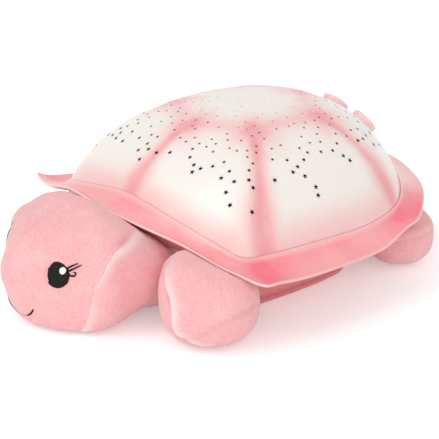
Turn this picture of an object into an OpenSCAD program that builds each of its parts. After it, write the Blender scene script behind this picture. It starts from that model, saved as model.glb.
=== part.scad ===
// Plush turtle night light: a stuffed body that carries a translucent star-pierced shell.
// The head faces -Y, +Z is up, the turtle's left is +X. The origin lies on the table, under the
// middle of the belly.

/* [Shell] */
// Width of the shell at its foot
shell_w = 200; // [180:1:240]
// Length of the shell at its foot
shell_l = 198; // [180:1:240]
// Height of the top of the shell above the table
shell_top = 114; // [104:1:140]
// Wall of the shell
shell_wall = 2.2; // [1.8:0.1:2.8]
// Height of the level seat that the shell's skirt stands on
seat_z = 46; // [44:1:56]
// How far the soft brim reaches past the shell at its front corners
brim_reach = 32; // [20:1:40]
// Thickness of the soft brim
brim_t = 1.8; // [1.4:0.1:2.4]

/* [Stars] */
// Number of star holes
star_count = 110; // [40:10:110]
// Outer radius of a star hole low on the shell
star_low_r = 1.9; // [1.2:0.1:2.4]
// Outer radius of a star hole at the top of the shell
star_high_r = 1.3; // [0.9:0.1:1.8]

/* [Tray] */
// Height of the tray's floor above the table
tray_z = 5; // [5:0.5:8]
// Thickness of the tray's floor
floor_t = 2.2; // [1.8:0.1:3]
// Thickness of the tray's flange
flange_t = 2.5; // [2:0.1:4]
// Wall of the tray's tub
tub_wall = 2.2; // [1.8:0.1:3]
// How far the tub's outside lies inside the shell's foot
tub_inset = 36; // [32:1:40]

/* [Batteries] */
// Diameter of one AAA cell
cell_d = 10.5; // [10:0.1:10.5]
// Length of one AAA cell
cell_l = 44.5; // [43.5:0.1:44.5]
// Number of cells side by side
cell_count = 3; // [2:1:4]
// Wall of the battery box
box_wall = 1.6; // [1.2:0.1:2.4]
// Thickness of the battery door
door_t = 2; // [1.6:0.1:2.2]

/* [Electronics] */
// Width of the main board
board_w = 84; // [76:1:96]
// Length of the main board
board_l = 70; // [60:1:80]
// Thickness of every circuit board
pcb_t = 1.6; // [1:0.1:2]
// Height of the main board's underside
board_z = 24; // [23:1:28]
// Height of the lamps' board
led_z = 52; // [44:1:60]

/* [Buttons] */
// Diameter of a button
button_d = 19; // [15:0.5:20]
// How far a button stands out of the shell
button_h = 5; // [3:0.5:7]
// How far a button can be pushed
button_travel = 1.2; // [0.8:0.1:1.6]
// Diameter of a button's stem
stem_d = 6; // [4:0.5:7]

/* [Plush] */
// How far the plush body's widest line lies inside the shell's foot
sleeve_inset = 24; // [20:1:26]
// Length of the head, from its nose to the neck seam
head_l = 122.5; // [100:0.5:130]
// Widest width of the head
head_w = 108; // [90:1:120]
// Height of the top of the head
head_h = 78.8; // [72:0.2:86]
// Length of a front flipper
front_flipper_l = 71; // [64:1:74]
// Length of a rear flipper
rear_flipper_l = 50; // [44:1:60]
// Width of the belly flap
flap_w = 62.7; // [60:0.1:70]

/* [Hidden] */

// Clearances
seat_gap = 0.2;      // between two seated pieces where one is a freeform moulding
soft_gap = 0.3;      // between a soft piece and its neighbour
slide_gap = 0.4;     // round a button in its hole
guide_gap = 0.1;     // radial, round a stem in its guide
screw_gap = 0.25;    // radial, round a screw in its hole
drop_gap = 0.3;      // round the battery door in its window

// ---- Curves ----
// A smooth curve through four points at share t of the middle stretch
function between(a, b, c, d, t) =
  0.5 * (2 * b + (c - a) * t + (2 * a - 5 * b + 4 * c - d) * t * t + (3 * b - a - 3 * c + d) * t * t * t);
// The other half of an outline, turned over the X = 0 plane
function whole_round(half) =
  concat(half, [for (i = [len(half) - 2 : -1 : 1]) [-half[i][0], half[i][1], half[i][2]]]);
// A closed smooth curve at knot number u
function round_at(k, u) =
  let (n = len(k), i = (floor(u) % n + n) % n, t = u - floor(u))
  between(k[(i + n - 1) % n], k[i], k[(i + 1) % n], k[(i + 2) % n], t);
// An open smooth curve at knot number u, straight past its ends
function open_at(k, u) =
  let (n = len(k), i = min(floor(u), n - 2), t = u - i,
       before = i > 0 ? k[i - 1] : 2 * k[0] - k[1],
       after = i + 2 < n ? k[i + 2] : 2 * k[n - 1] - k[n - 2])
  between(before, k[i], k[i + 1], after, t);
function mix(a, b, t) = a + (b - a) * t;
function unit(v) = v / norm(v);

// ---- Plan of the shell: knots from the front over the left side to the rear ----
shell_mid_y = 21;
peak = [0, 24];
// Share of half the width, share of half the length, rise of the foot above the seat
foot_half = [
  [0, -1, 24], [0.46, -0.96, 17], [0.76, -0.90, 10], [0.92, -0.82, 4], [0.96, -0.67, 3],
  [1, -0.21, 4], [0.97, 0.21, 4], [0.84, 0.58, 8], [0.46, 0.90, 13], [0, 1, 15]
];
// Reach of the brim past the foot, as shares of its largest reach, and its drop below the foot
reach_half = [
  [0, -0.44, 10], [0.28, -0.31, 8], [0.66, -0.25, 8], [0.93, -0.25, 6.5], [0.86, -0.16, 7.5],
  [0.60, 0.16, 10.5], [0.43, 0.37, 9], [0.20, 0.49, 7], [0.12, 0.60, 9], [0, 0.75, 9]
];
foot_knots = whole_round([
  for (k = foot_half) [k[0] * shell_w / 2, shell_mid_y + k[1] * shell_l / 2, seat_z + k[2]]
]);
rim_knots = whole_round([
  for (i = [0 : len(foot_half) - 1])
    [foot_knots[i][0] + reach_half[i][0] * brim_reach,
     foot_knots[i][1] + reach_half[i][1] * brim_reach,
     foot_knots[i][2] - reach_half[i][2]]
]);
knot_count = len(foot_knots);
rear_knot = knot_count / 2;
stations = 54;
station_u = [for (i = [0 : stations - 1]) i * knot_count / stations];

// A point of the foot line at knot u, moved a distance in towards the peak
function foot_at(u, inset) =
  let (p = round_at(foot_knots, u), d = [p[0], p[1]] - peak, q = peak + d * (1 - inset / norm(d)))
  [q[0], q[1], p[2]];
function outline(inset) = [for (u = station_u) let (p = foot_at(u, inset)) [p[0], p[1]]];

// ---- The shell's surface: share s runs from 0 at the peak to 1 at the foot ----
// The crown is rounder in front and fuller behind
crown_power_front = 2.6;
crown_power_rear = 3.3;
crown_fall = 0.85;
function crown_power(u) = mix(crown_power_front, crown_power_rear, (1 - cos(180 * u / rear_knot)) / 2);
function dome_at(u, s, inset) =
  let (f = foot_at(u, inset), top = shell_top - inset)
  [mix(peak[0], f[0], s), mix(peak[1], f[1], s),
   f[2] + (top - f[2]) * pow(max(0, 1 - pow(s, crown_power(u))), crown_fall)];
nudge = 0.01;
function dome_normal(u, s) =
  unit(cross(dome_at(u + nudge, s, 0) - dome_at(u - nudge, s, 0),
             dome_at(u, s - nudge, 0) - dome_at(u, s + nudge, 0)));

// Places children with their +Z along direction n at point p
module seat_on(p, n) {
  translate(p) rotate([0, acos(n[2]), atan2(n[1], n[0])]) children();
}

// ---- Polyhedra from rings of points ----
// A closed solid from rings stacked along any way, each ring counter-clockwise seen from the last
// ring's side, with its first and last ring closed by a fan
module stacked(rings) {
  n = len(rings[0]);
  m = len(rings);
  centre = function (ring) [for (k = [0 : 2]) let (v = [for (p = ring) p[k]]) v * [for (p = ring) 1] / n];
  points = concat([for (r = rings) each r], [centre(rings[0]), centre(rings[m - 1])]);
  walls = [for (j = [0 : m - 2], i = [0 : n - 1])
    let (a = j * n + i, b = j * n + (i + 1) % n)
    each [[a, b + n, b], [a, a + n, b + n]]];
  ends = [for (i = [0 : n - 1])
    each [[m * n, i, (i + 1) % n], [m * n + 1, (m - 1) * n + (i + 1) % n, (m - 1) * n + i]]];
  polyhedron(points, concat(walls, ends), convexity = 6);
}
// A closed hoop from rings that stand one behind another and meet again
module hooped(rings) {
  n = len(rings[0]);
  m = len(rings);
  points = [for (r = rings) each r];
  walls = [for (j = [0 : m - 1], i = [0 : n - 1])
    let (a = j * n + i, b = j * n + (i + 1) % n, c = ((j + 1) % m) * n)
    each [[a, c + (i + 1) % n, b], [a, c + i, c + (i + 1) % n]]];
  polyhedron(points, walls, convexity = 6);
}
// A wire of diameter d along a route: one ring of points square to each stretch
module wire(route, d, sides) {
  last = len(route) - 1;
  stacked([for (i = [0 : last])
    let (t = unit(route[min(i + 1, last)] - route[max(i - 1, 0)]),
         side = abs(t[2]) > 0.9 ? unit(cross(t, [0, 1, 0])) : unit(cross(t, [0, 0, 1])),
         up = cross(t, side))
    [for (k = [0 : sides - 1]) let (a = 360 * k / sides) route[i] + d / 2 * (side * cos(a) + up * sin(a))]]);
}
// A route through hand-chosen points, in short steps
function smooth_route(k, steps) =
  [for (i = [0 : (len(k) - 1) * steps]) open_at(k, i / steps)];

// ---- Shell ----
dome_rows = 12;
function dome_ring(s, inset) = [for (u = station_u) dome_at(u, s, inset)];
function level_ring(inset, z) = [for (u = station_u) let (p = foot_at(u, inset)) [p[0], p[1], z]];
// The shell's outside, or its hollow when inset by the wall, down to height z
module dome_solid(inset, z) {
  stacked(concat([level_ring(inset, z)],
    [for (k = [0 : dome_rows - 1]) dome_ring(sin(90 * (1 - k / dome_rows)), inset)]));
}

// Star holes are spread evenly by two irrational steps, one round the shell and one up it
turn_step = 0.7548776662;
area_step = 0.5698402910;
star_bare_foot = 0.88;   // no stars nearer the foot than this share
star_bare_top = 0.05;
star_points = 5;
star_waist = 0.42;       // inner radius of a star as a share of its outer radius
function part_of(x) = x - floor(x);
function star_share(k) =
  sqrt(mix(pow(star_bare_top, 2), pow(star_bare_foot, 2), part_of(area_step * k)));
module star_cutter(r) {
  linear_extrude(4 * shell_wall, center = true)
    polygon([for (k = [0 : 2 * star_points - 1])
      r * (k % 2 == 0 ? 1 : star_waist) * [cos(180 * k / star_points), sin(180 * k / star_points)]]);
}

// Screw posts in the skirt, at these knots of the foot line
post_knots = [2.6, 5.2, 7.6, 10.4, 12.8, 15.4];
post_inset = 5.8;
post_r = 3.6;
post_top = seat_z + 10;
screw_d = 2.9;
screw_head_d = 5.4;
screw_head_h = 2;
lip_space = 1.8;                       // between the shell's skirt and the tray's flange
flange_top = seat_z - lip_space;
flange_z = flange_top - flange_t;
module at_posts() {
  for (u = post_knots) translate([foot_at(u, post_inset)[0], foot_at(u, post_inset)[1], 0]) children();
}
module post_at(u, inset, r) {
  p = foot_at(u, inset);
  low = flange_top + seat_gap;
  translate([p[0], p[1], low]) cylinder(h = post_top - low, r = r, $fn = 24);
}

// Buttons: knot and share of each site, in the order amber, green, blue, power
rear_u = rear_knot;
button_sites = [[rear_u - 0.62, 0.83], [rear_u, 0.75], [rear_u + 0.62, 0.83], [rear_u, 0.925]];
// Screw bosses of the button frame
boss_sites = [[rear_u - 1.3, 0.83], [rear_u, 0.55], [rear_u + 1.3, 0.83]];
function site_point(site, depth) = dome_at(site[0], site[1], 0) - dome_normal(site[0], site[1]) * depth;
module at_site(site) {
  seat_on(dome_at(site[0], site[1], 0), dome_normal(site[0], site[1])) children();
}
// Depths along a button's axis, below the shell's outside
lip_depth = 5.2;                       // top of the button's retaining lip
lip_t = 1.2;
guide_top = lip_depth + lip_t + button_travel + slide_gap;
guide_t = 2;
guide_low = guide_top + guide_t;
stem_end = guide_low + 0.6;
rubber_top = stem_end + seat_gap;
rubber_h = 3.6;
switch_top = rubber_top + rubber_h;
boss_end = guide_top;
boss_r = 3.5;
frame_screw_d = 2.2;

module shell_dome() {
  color("mistyrose")
    difference() {
      union() {
        difference() {
          dome_solid(0, seat_z);
          dome_solid(shell_wall, seat_z - 1);
        }
        intersection() {
          dome_solid(lip_in + soft_gap, flange_top + seat_gap);
          union() {
            for (u = post_knots)
              hull() {
                post_at(u, post_inset, post_r);
                post_at(u, shell_wall / 2, post_r / 2);
              }
            for (b = boss_sites) at_site(b)
              hull() {
                translate([0, 0, -boss_end]) cylinder(h = 1, r = boss_r, $fn = 24);
                translate([0, 0, -1]) cylinder(h = 1, r = boss_r + 1, $fn = 24);
              }
          }
        }
      }
      at_posts() cylinder(h = post_top - 1.5, d = screw_d + 2 * screw_gap, $fn = 24);
      for (b = boss_sites) at_site(b)
        translate([0, 0, -boss_end - 1])
          cylinder(h = boss_end - shell_wall - 0.5, d = frame_screw_d + 2 * screw_gap, $fn = 24);
      for (b = button_sites) at_site(b)
        cylinder(h = 20, d = button_d + 2 * slide_gap, center = true, $fn = 48);
      for (k = [0 : star_count - 1])
        let (u = knot_count * part_of(turn_step * k), s = star_share(k), site = dome_at(u, s, 0))
          if (min([for (b = button_sites) norm(site - dome_at(b[0], b[1], 0))]) > button_d / 2 + 4
              && min([for (b = boss_sites) norm(site - dome_at(b[0], b[1], 0))]) > boss_r + 3)
            at_site([u, s]) rotate(137 * k) star_cutter(mix(star_high_r, star_low_r, s));
    }
}

module shell_screws() {
  shank = post_top - 4 - flange_z;
  color("silver")
    at_posts() translate([0, 0, flange_z]) {
      translate([0, 0, -screw_head_h]) screw_head(screw_head_d, screw_head_h);
      cylinder(h = shank, d = screw_d, $fn = 24);
    }
}
// A pan head with a cross slot, its seat at the top
module screw_head(d, h) {
  slot = d / 6;
  difference() {
    cylinder(h = h, d = d, $fn = 32);
    for (a = [0, 90]) rotate(a) translate([0, 0, h / 4])
      cube([d * 0.6, slot, h / 2 + nudge], center = true);
  }
}

// ---- Brim: a section at each station, run round as a hoop ----
collar_gap = seat_gap + 0.1;
brim_hollow = 2.5;      // the brim's top hangs this far below a straight line from foot to rim
lip_in = shell_wall - 0.5;   // how far the trapped lip reaches in under the skirt
brim_rows = 5;
function brim_at(u, t) =
  let (a = foot_at(u, -collar_gap), b = round_at(rim_knots, u))
  mix(a, b, t) - [0, 0, 4 * t * (1 - t) * brim_hollow];
function brim_section(u) =
  let (low = seat_z - lip_space + seat_gap, high = seat_z - seat_gap)
  concat(
    [for (k = [0 : brim_rows]) brim_at(u, k / brim_rows)],
    [for (k = [brim_rows : -1 : 1]) brim_at(u, k / brim_rows) - [0, 0, brim_t]],
    [let (p = foot_at(u, -collar_gap - brim_t)) [p[0], p[1], p[2] - 1.5 * brim_t],
     let (p = foot_at(u, -collar_gap - brim_t)) [p[0], p[1], low],
     let (p = foot_at(u, lip_in)) [p[0], p[1], low],
     let (p = foot_at(u, lip_in)) [p[0], p[1], high],
     let (p = foot_at(u, -collar_gap)) [p[0], p[1], high]]);
module shell_brim() {
  color("lightpink") hooped([for (u = station_u) brim_section(u)]);
}

// ---- Tray ----
flange_inset = 0.5;
floor_top = tray_z + floor_t;
bay_y = 8;                                      // middle of the battery bay
bay_w = cell_count * cell_d + 2;
spring_l = 4;
bay_l = cell_l + spring_l + 2;
bay_h = cell_d + 1.5;
door_margin = 4;
door_w = bay_w + 2 * door_margin;
door_boss_r = 3.5;
door_boss_h = 9;
door_boss_y = bay_l / 2 + box_wall + door_boss_r + 0.4;
door_l = 2 * (door_boss_y + door_boss_r + 1);
door_r = 3;
box_margin = 6;                                 // how far the box's flange laps over the window
box_w = door_w + 2 * box_margin;
box_l = door_l + 2 * box_margin;
peg_r = 1.25;
peg_x = box_w / 2 - 3;
peg_y = box_l / 2 - 3;
standoff_r = 3;
board_y = 15;
standoff_x = board_w / 2 - 4;
standoff_y = board_l / 2 - 4;
module rounded_plate(w, l, h, r) {
  linear_extrude(h)
    union() {
      square([w - 2 * r, l], center = true);
      square([w, l - 2 * r], center = true);
      for (x = [-1, 1], y = [-1, 1]) translate([x * (w / 2 - r), y * (l / 2 - r)]) circle(r, $fn = 32);
    }
}
module at_corners(x, y) {
  for (i = [-1, 1], j = [-1, 1]) translate([i * x, j * y, 0]) children();
}
module base_tray() {
  color("white")
    difference() {
      union() {
        difference() {
          union() {
            translate([0, 0, flange_z]) linear_extrude(flange_t) polygon(outline(flange_inset));
            translate([0, 0, tray_z]) linear_extrude(flange_z - tray_z + nudge) polygon(outline(tub_inset));
          }
          translate([0, 0, floor_top]) linear_extrude(seat_z) polygon(outline(tub_inset + tub_wall));
        }
        translate([0, board_y, floor_top - nudge]) at_corners(standoff_x, standoff_y)
          cylinder(h = board_z - floor_top + nudge, r = standoff_r, $fn = 32);
        translate([0, bay_y, floor_top - nudge]) at_corners(peg_x, peg_y)
          cylinder(h = box_wall + 1, r = peg_r, $fn = 24);
      }
      translate([0, bay_y, tray_z - 1])
        rounded_plate(door_w + 2 * drop_gap, door_l + 2 * drop_gap, floor_t + 2, door_r);
      translate([0, board_y, board_z - 10]) at_corners(standoff_x, standoff_y)
        cylinder(h = 11, d = board_screw_d + guide_gap, $fn = 24);
      at_posts() translate([0, 0, flange_z - 1])
        cylinder(h = flange_t + 2, d = screw_d + 2 * screw_gap, $fn = 24);
    }
}

// ---- Battery bay ----
door_screw_d = 2.6;
door_head_d = 5;
door_head_h = 1.6;
door_sink = 0.8;           // depth of the screw heads' and finger's recesses
module battery_box() {
  color("whitesmoke")
    translate([0, bay_y, floor_top])
      difference() {
        union() {
          rounded_plate(box_w, box_l, box_wall, door_r);
          translate([0, 0, (bay_h + box_wall) / 2])
            cube([bay_w, bay_l, bay_h - box_wall] + 2 * box_wall * [1, 1, 1], center = true);
          for (s = [-1, 1]) translate([0, s * door_boss_y, 0])
            cylinder(h = door_boss_h, r = door_boss_r, $fn = 32);
        }
        translate([0, 0, bay_h / 2 - 1]) cube([bay_w, bay_l, bay_h + 2], center = true);
        for (s = [-1, 1]) translate([0, s * door_boss_y, -1])
          cylinder(h = door_boss_h, d = door_screw_d + 2 * guide_gap, $fn = 24);
        at_corners(peg_x, peg_y) translate([0, 0, -1])
          cylinder(h = box_wall + 2, r = peg_r + guide_gap, $fn = 24);
        // ways out for the leads, in the bay's front wall
        for (s = [-1, 1]) translate([s * lead_x, -bay_l / 2, lead_h]) rotate([90, 0, 0])
          cylinder(h = 4 * box_wall, d = lead_d + 2 * lead_play, center = true, $fn = 24);
      }
}
plate_t = 0.4;
cell_z = floor_top + drop_gap + cell_d / 2;
cell_pitch = cell_d + 0.4;
cell_x = [for (i = [0 : cell_count - 1]) (i - (cell_count - 1) / 2) * cell_pitch];
plate_front_y = bay_y - bay_l / 2 + drop_gap;
plate_rear_y = bay_y + bay_l / 2 - drop_gap;
nub_l = 1;
lead_d = 1.6;
lead_play = 0.7;
lead_x = cell_pitch / 2;      // the leads leave between the cells
lead_h = bay_h - 1.8;
cell_front_y = plate_front_y + plate_t + seat_gap;
// A row of cells, each with its nub towards the front plate
module batteries() {
  color("darkseagreen")
    for (x = cell_x) translate([x, cell_front_y, cell_z]) rotate([-90, 0, 0])
      rotate_extrude($fn = 48)
        polygon([[0, 0], [1.9, 0], [1.9, nub_l], [cell_d / 2 - 0.6, nub_l], [cell_d / 2, nub_l + 0.6],
                 [cell_d / 2, cell_l - 0.6], [cell_d / 2 - 0.6, cell_l], [0, cell_l]]);
}
module battery_plates() {
  color("silver")
    for (x = cell_x, y = [plate_front_y, plate_rear_y - plate_t])
      translate([x - 4, y, cell_z - 4]) cube([8, plate_t, 8]);
}
coil_turns = 3;
coil_steps = 12;
coil_wire = 0.7;
// Conical coils between the cells and the rear plates
module battery_springs() {
  start_y = cell_front_y + cell_l + seat_gap + coil_wire / 2;
  end_y = plate_rear_y - plate_t - seat_gap - coil_wire / 2;
  steps = coil_turns * coil_steps;
  color("silver")
    for (x = cell_x)
      wire([for (i = [0 : steps])
        let (a = 360 * i / coil_steps, t = i / steps, r = mix(2, 3.6, t))
        [x + r * cos(a), mix(start_y, end_y, t), cell_z + r * sin(a)]], coil_wire, 6);
}
door_top = floor_top - seat_gap;
door_z = door_top - door_t;
module battery_door() {
  color("white")
    translate([0, bay_y, door_z])
      difference() {
        union() {
          rounded_plate(door_w, door_l, door_t, door_r);
          // bars that hold the cells up
          for (y = [-14, 14]) translate([-bay_w / 2 + 1, y - 1, door_t - nudge]) cube([bay_w - 2, 2, 0.4]);
        }
        for (s = [-1, 1]) translate([0, s * door_boss_y, -1]) {
          cylinder(h = door_t + 2, d = door_screw_d + 2 * screw_gap, $fn = 24);
          cylinder(h = 1 + door_sink, d = door_head_d + 2 * screw_gap, $fn = 32);
        }
        // finger notch
        translate([door_w / 2, 0, -1]) cylinder(h = 1 + door_sink, r = 5, $fn = 32);
      }
}
module battery_door_screws() {
  color("silver")
    for (s = [-1, 1]) translate([0, bay_y + s * door_boss_y, door_z]) {
      translate([0, 0, door_sink - door_head_h]) screw_head(door_head_d, door_head_h);
      translate([0, 0, door_sink - nudge]) cylinder(h = door_boss_h - 1, d = door_screw_d, $fn = 24);
    }
}

// ---- Main board ----
board_top = board_z + pcb_t;
board_screw_d = 1.9;
board_screw_l = 8;
module main_board() {
  color("seagreen")
    difference() {
      translate([0, board_y, board_z]) rounded_plate(board_w, board_l, pcb_t, 3);
      translate([0, board_y, board_z - 1]) at_corners(standoff_x, standoff_y)
        cylinder(h = pcb_t + 2, d = board_screw_d + 2 * screw_gap, $fn = 24);
    }
}
module board_screws() {
  color("silver")
    translate([0, board_y, board_top]) at_corners(standoff_x, standoff_y) {
      mirror([0, 0, 1]) translate([0, 0, -1.6]) screw_head(4.4, 1.6);
      translate([0, 0, -board_screw_l]) cylinder(h = board_screw_l + nudge, d = board_screw_d, $fn = 24);
    }
}
chip_x = 27;
chip_y = 10;
module control_chip() {
  body = [8, 10, 1.6];
  color("dimgray")
    translate([chip_x, chip_y, board_top]) {
      translate([-body[0] / 2, -body[1] / 2, 0.2]) cube(body);
      for (s = [-1, 1], i = [-3 : 3])
        translate([s * (body[0] / 2 + 0.6) - 0.9, i * 1.27 - 0.2, 0]) cube([1.8, 0.4, 0.9]);
    }
}
module resistors() {
  color("black")
    for (i = [0 : 5]) translate([chip_x - 8 + 3.2 * i, chip_y - 14, board_top]) cube([1.6, 3.2, 0.6]);
}
capacitor_x = -28;
module capacitor() {
  color("slateblue")
    translate([capacitor_x, chip_y, board_top]) rotate_extrude($fn = 32)
      polygon([[0, 0], [3.15, 0], [3.15, 1], [2.9, 1.4], [3.15, 1.8], [3.15, 7.6], [2.8, 8], [0, 8]]);
}
// Sockets at the board's edges: battery leads in front, switches behind
socket_h = 5;
battery_socket = [-24, -12];
switch_socket = [0, 44];
module wire_sockets() {
  color("ivory")
    for (p = [battery_socket, switch_socket])
      translate([p[0], p[1], board_top + socket_h / 2])
        difference() {
          cube([9, 5, socket_h], center = true);
          translate([0, 0, 1]) cube([7, 3.4, socket_h - 1.6], center = true);
        }
}

// ---- Lamps ----
tower_y = 21;
tower_r = 8;
led_pitch_r = 5.4;
module led_tower() {
  color("white")
    translate([0, tower_y, board_top])
      difference() {
        union() {
          cylinder(h = led_z - board_top, r = tower_r, $fn = 48);
          cylinder(h = 2, r = tower_r + 3, $fn = 48);
        }
        translate([0, 0, -1]) cylinder(h = led_z - board_top + 2, r = tower_r - 1.8, $fn = 48);
      }
}
module led_board() {
  color("seagreen") translate([0, tower_y, led_z]) cylinder(h = pcb_t, r = tower_r + 3, $fn = 48);
}
module lamp(turn, shade) {
  color(shade)
    translate([0, tower_y, led_z + pcb_t]) rotate(turn) translate([led_pitch_r, 0, 0])
      rotate_extrude($fn = 32)
        intersection() {
          union() {
            square([2.5, 6]);
            square([2.9, 1]);
            translate([0, 6]) circle(2.5, $fn = 48);
          }
          square([4, 10]);
        }
}

// ---- Buttons ----
module button(site) {
  r = button_d / 2;
  edge = button_h - 2;
  crown = (r * r + pow(button_h - edge, 2)) / (2 * (button_h - edge));
  at_site(site)
    rotate_extrude($fn = 64)
      union() {
        intersection() {
          translate([0, button_h - crown]) circle(crown, $fn = 128);
          translate([0, -lip_depth]) square([r, lip_depth + button_h]);
        }
        translate([0, -lip_depth - lip_t]) square([r + 1.5, lip_t]);
        translate([0, -stem_end]) square([stem_d / 2, stem_end - lip_depth]);
      }
}
// A silicone dome: the stem collapses it onto the board, and it pushes the stem back
module rubber_dome(site) {
  color("snow")
    at_site(site) translate([0, 0, -switch_top])
      rotate_extrude($fn = 32)
        polygon([[0, rubber_h], [2.6, rubber_h], [4.6, 1.2], [6, 1], [6, 0], [4.6, 0], [3.4, 1.4],
                 [2, rubber_h - 0.8], [1.4, rubber_h - 1.4], [0, rubber_h - 1.4]]);
}
switch_board_w = 15;
module switch_board(site) {
  color("seagreen")
    at_site(site) translate([0, 0, -switch_top - pcb_t / 2])
      cube([switch_board_w, switch_board_w, pcb_t], center = true);
}
cup_r = 8.2;
cup_bore = 6.4;
module guide_disc(r) {
  translate([0, 0, -guide_low]) cylinder(h = guide_t, r = r, $fn = 32);
}
// A flat rib between the guide discs of two sites, square to the mean of their normals
module web(from, to, w) {
  a = site_point(from, guide_low - guide_t / 2);
  b = site_point(to, guide_low - guide_t / 2);
  x = unit(b - a);
  y = unit(cross(dome_normal(from[0], from[1]) + dome_normal(to[0], to[1]), x));
  z = cross(x, y);
  multmatrix([[x[0], y[0], z[0], a[0]], [x[1], y[1], z[1], a[1]], [x[2], y[2], z[2], a[2]], [0, 0, 0, 1]])
    translate([0, -w / 2, -guide_t / 2]) cube([norm(b - a), w, guide_t]);
}
module button_frame() {
  color("white")
    difference() {
      union() {
        for (b = button_sites) at_site(b) translate([0, 0, -switch_top])
          cylinder(h = switch_top - guide_top, r = cup_r, $fn = 48);
        for (b = boss_sites) at_site(b) guide_disc(boss_r);
        for (k = [0, 2, 3]) web(button_sites[1], button_sites[k], 6);
        web(button_sites[0], boss_sites[0], 5);
        web(button_sites[1], boss_sites[1], 5);
        web(button_sites[2], boss_sites[2], 5);
      }
      // room for each button's lip above its guide, and for the rubber dome below it
      for (b = button_sites) at_site(b) {
        translate([0, 0, -guide_top]) cylinder(h = guide_top, r = cup_r + 2, $fn = 48);
        translate([0, 0, -guide_low - 6]) cylinder(h = 6, r = cup_bore, $fn = 48);
        translate([0, 0, -guide_low - 1]) cylinder(h = guide_t + 2, d = stem_d + 2 * guide_gap, $fn = 48);
      }
      for (b = boss_sites) at_site(b) {
        translate([0, 0, -guide_low - 1])
          cylinder(h = guide_t + 2, d = frame_screw_d + 2 * screw_gap, $fn = 24);
        translate([0, 0, -guide_low - 6]) cylinder(h = 6, r = boss_r, $fn = 24);
      }
    }
}
module frame_screws() {
  color("silver")
    for (b = boss_sites) at_site(b) translate([0, 0, -guide_low]) {
      translate([0, 0, -1.4]) screw_head(4.2, 1.4);
      cylinder(h = 5, d = frame_screw_d, $fn = 24);
    }
}

// ---- Internal wires ----
harness_d = 3;
module battery_lead(side, shade) {
  out_y = bay_y - bay_l / 2 - box_wall;
  x = battery_socket[0] + side * 2;
  y = battery_socket[1];
  route = [
    [side * lead_x, out_y + 4, floor_top + lead_h], [side * lead_x, out_y - 0.5, floor_top + lead_h],
    [side * lead_x - 3, out_y - 5, board_z - 2], [side * 3 - 12, out_y - 7, board_top + 6],
    [x + 2, out_y - 1, board_top + 10], [x, y, board_top + 8], [x, y, board_top + 3.4]
  ];
  color(shade) wire(smooth_route(route, 4), lead_d, 8);
}
module switch_harness() {
  start = site_point(button_sites[1], switch_top + pcb_t + seat_gap);
  out = site_point(button_sites[1], switch_top + pcb_t + 5);
  route = [
    start, out, [0, 74, 62], [0, 62, 50], [0, 50, 42], [0, switch_socket[1], 36],
    [0, switch_socket[1], 29]
  ];
  color("gray") wire(smooth_route(route, 4), harness_d, 8);
}
module switch_jumpers() {
  d = 1.4;
  depth = switch_top + pcb_t + d / 2 + seat_gap;
  steps = 6;
  reach = switch_board_w / 2 - 2;
  // the end of a jumper: near the edge of one board, towards the other
  function end_at(from, to) =
    let (p = site_point(from, depth), n = dome_normal(from[0], from[1]), way = site_point(to, depth) - p)
    p + reach * unit(way - n * (way * n));
  color("gray")
    for (k = [0, 2, 3]) {
      a = end_at(button_sites[1], button_sites[k]);
      b = end_at(button_sites[k], button_sites[1]);
      wire([for (i = [0 : steps]) mix(a, b, i / steps) - [0, 0, 3 * sin(180 * i / steps)]], d, 8);
    }
}

// ---- Plush body ----
sleeve_top = flange_z - soft_gap;
sleeve_low = tray_z + 0.3;
// Share of the height from the bottom, and how far the outside draws in from its widest line
sleeve_rows = [[1, 6], [0.9, 3], [0.7, 0.5], [0.4, 0], [0.15, 2.5], [0, 6]];
module body_sleeve() {
  inner = tub_inset - soft_gap;
  outside = [for (r = sleeve_rows) [sleeve_inset + r[1], mix(sleeve_low, sleeve_top, r[0])]];
  color("pink")
    hooped([for (u = station_u)
      concat(
        [for (r = outside) let (p = foot_at(u, r[0])) [p[0], p[1], r[1]]],
        [for (z = [sleeve_low, sleeve_top]) let (p = foot_at(u, inner)) [p[0], p[1], z]])]);
}
belly_t = tray_z - soft_gap;
belly_inset = sleeve_inset + 4;
flap_gap = 0.3;
flap_t = 2.4;
ledge_z = 3.8;
flap_l = door_l + 6;
flap_hinge_x = -door_w / 2 - 6;
tape_w = 9;
tape_t = 0.6;
ledge_x = flap_hinge_x + flap_w - tape_w - 3;
module belly_panel() {
  color("pink")
    difference() {
      linear_extrude(belly_t) polygon(outline(belly_inset));
      translate([flap_hinge_x - flap_gap, bay_y - flap_l / 2 - flap_gap, -1])
        cube([flap_w + 2 * flap_gap, flap_l + 2 * flap_gap, ledge_z + 1]);
      translate([flap_hinge_x - flap_gap, bay_y - flap_l / 2 - flap_gap, -1])
        cube([ledge_x - flap_hinge_x + flap_gap, flap_l + 2 * flap_gap, belly_t + 2]);
    }
}
module belly_flap() {
  color("pink")
    translate([flap_hinge_x, bay_y - flap_l / 2, 0]) cube([flap_w, flap_l, flap_t]);
}
module hook_tape() {
  color("white")
    translate([ledge_x + 1.5, bay_y - flap_l / 2 + 6, flap_t]) cube([tape_w, flap_l - 12, tape_t]);
}
module loop_tape() {
  color("white")
    translate([ledge_x + 1.5, bay_y - flap_l / 2 + 6, ledge_z - tape_t])
      cube([tape_w, flap_l - 12, tape_t]);
}

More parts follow.
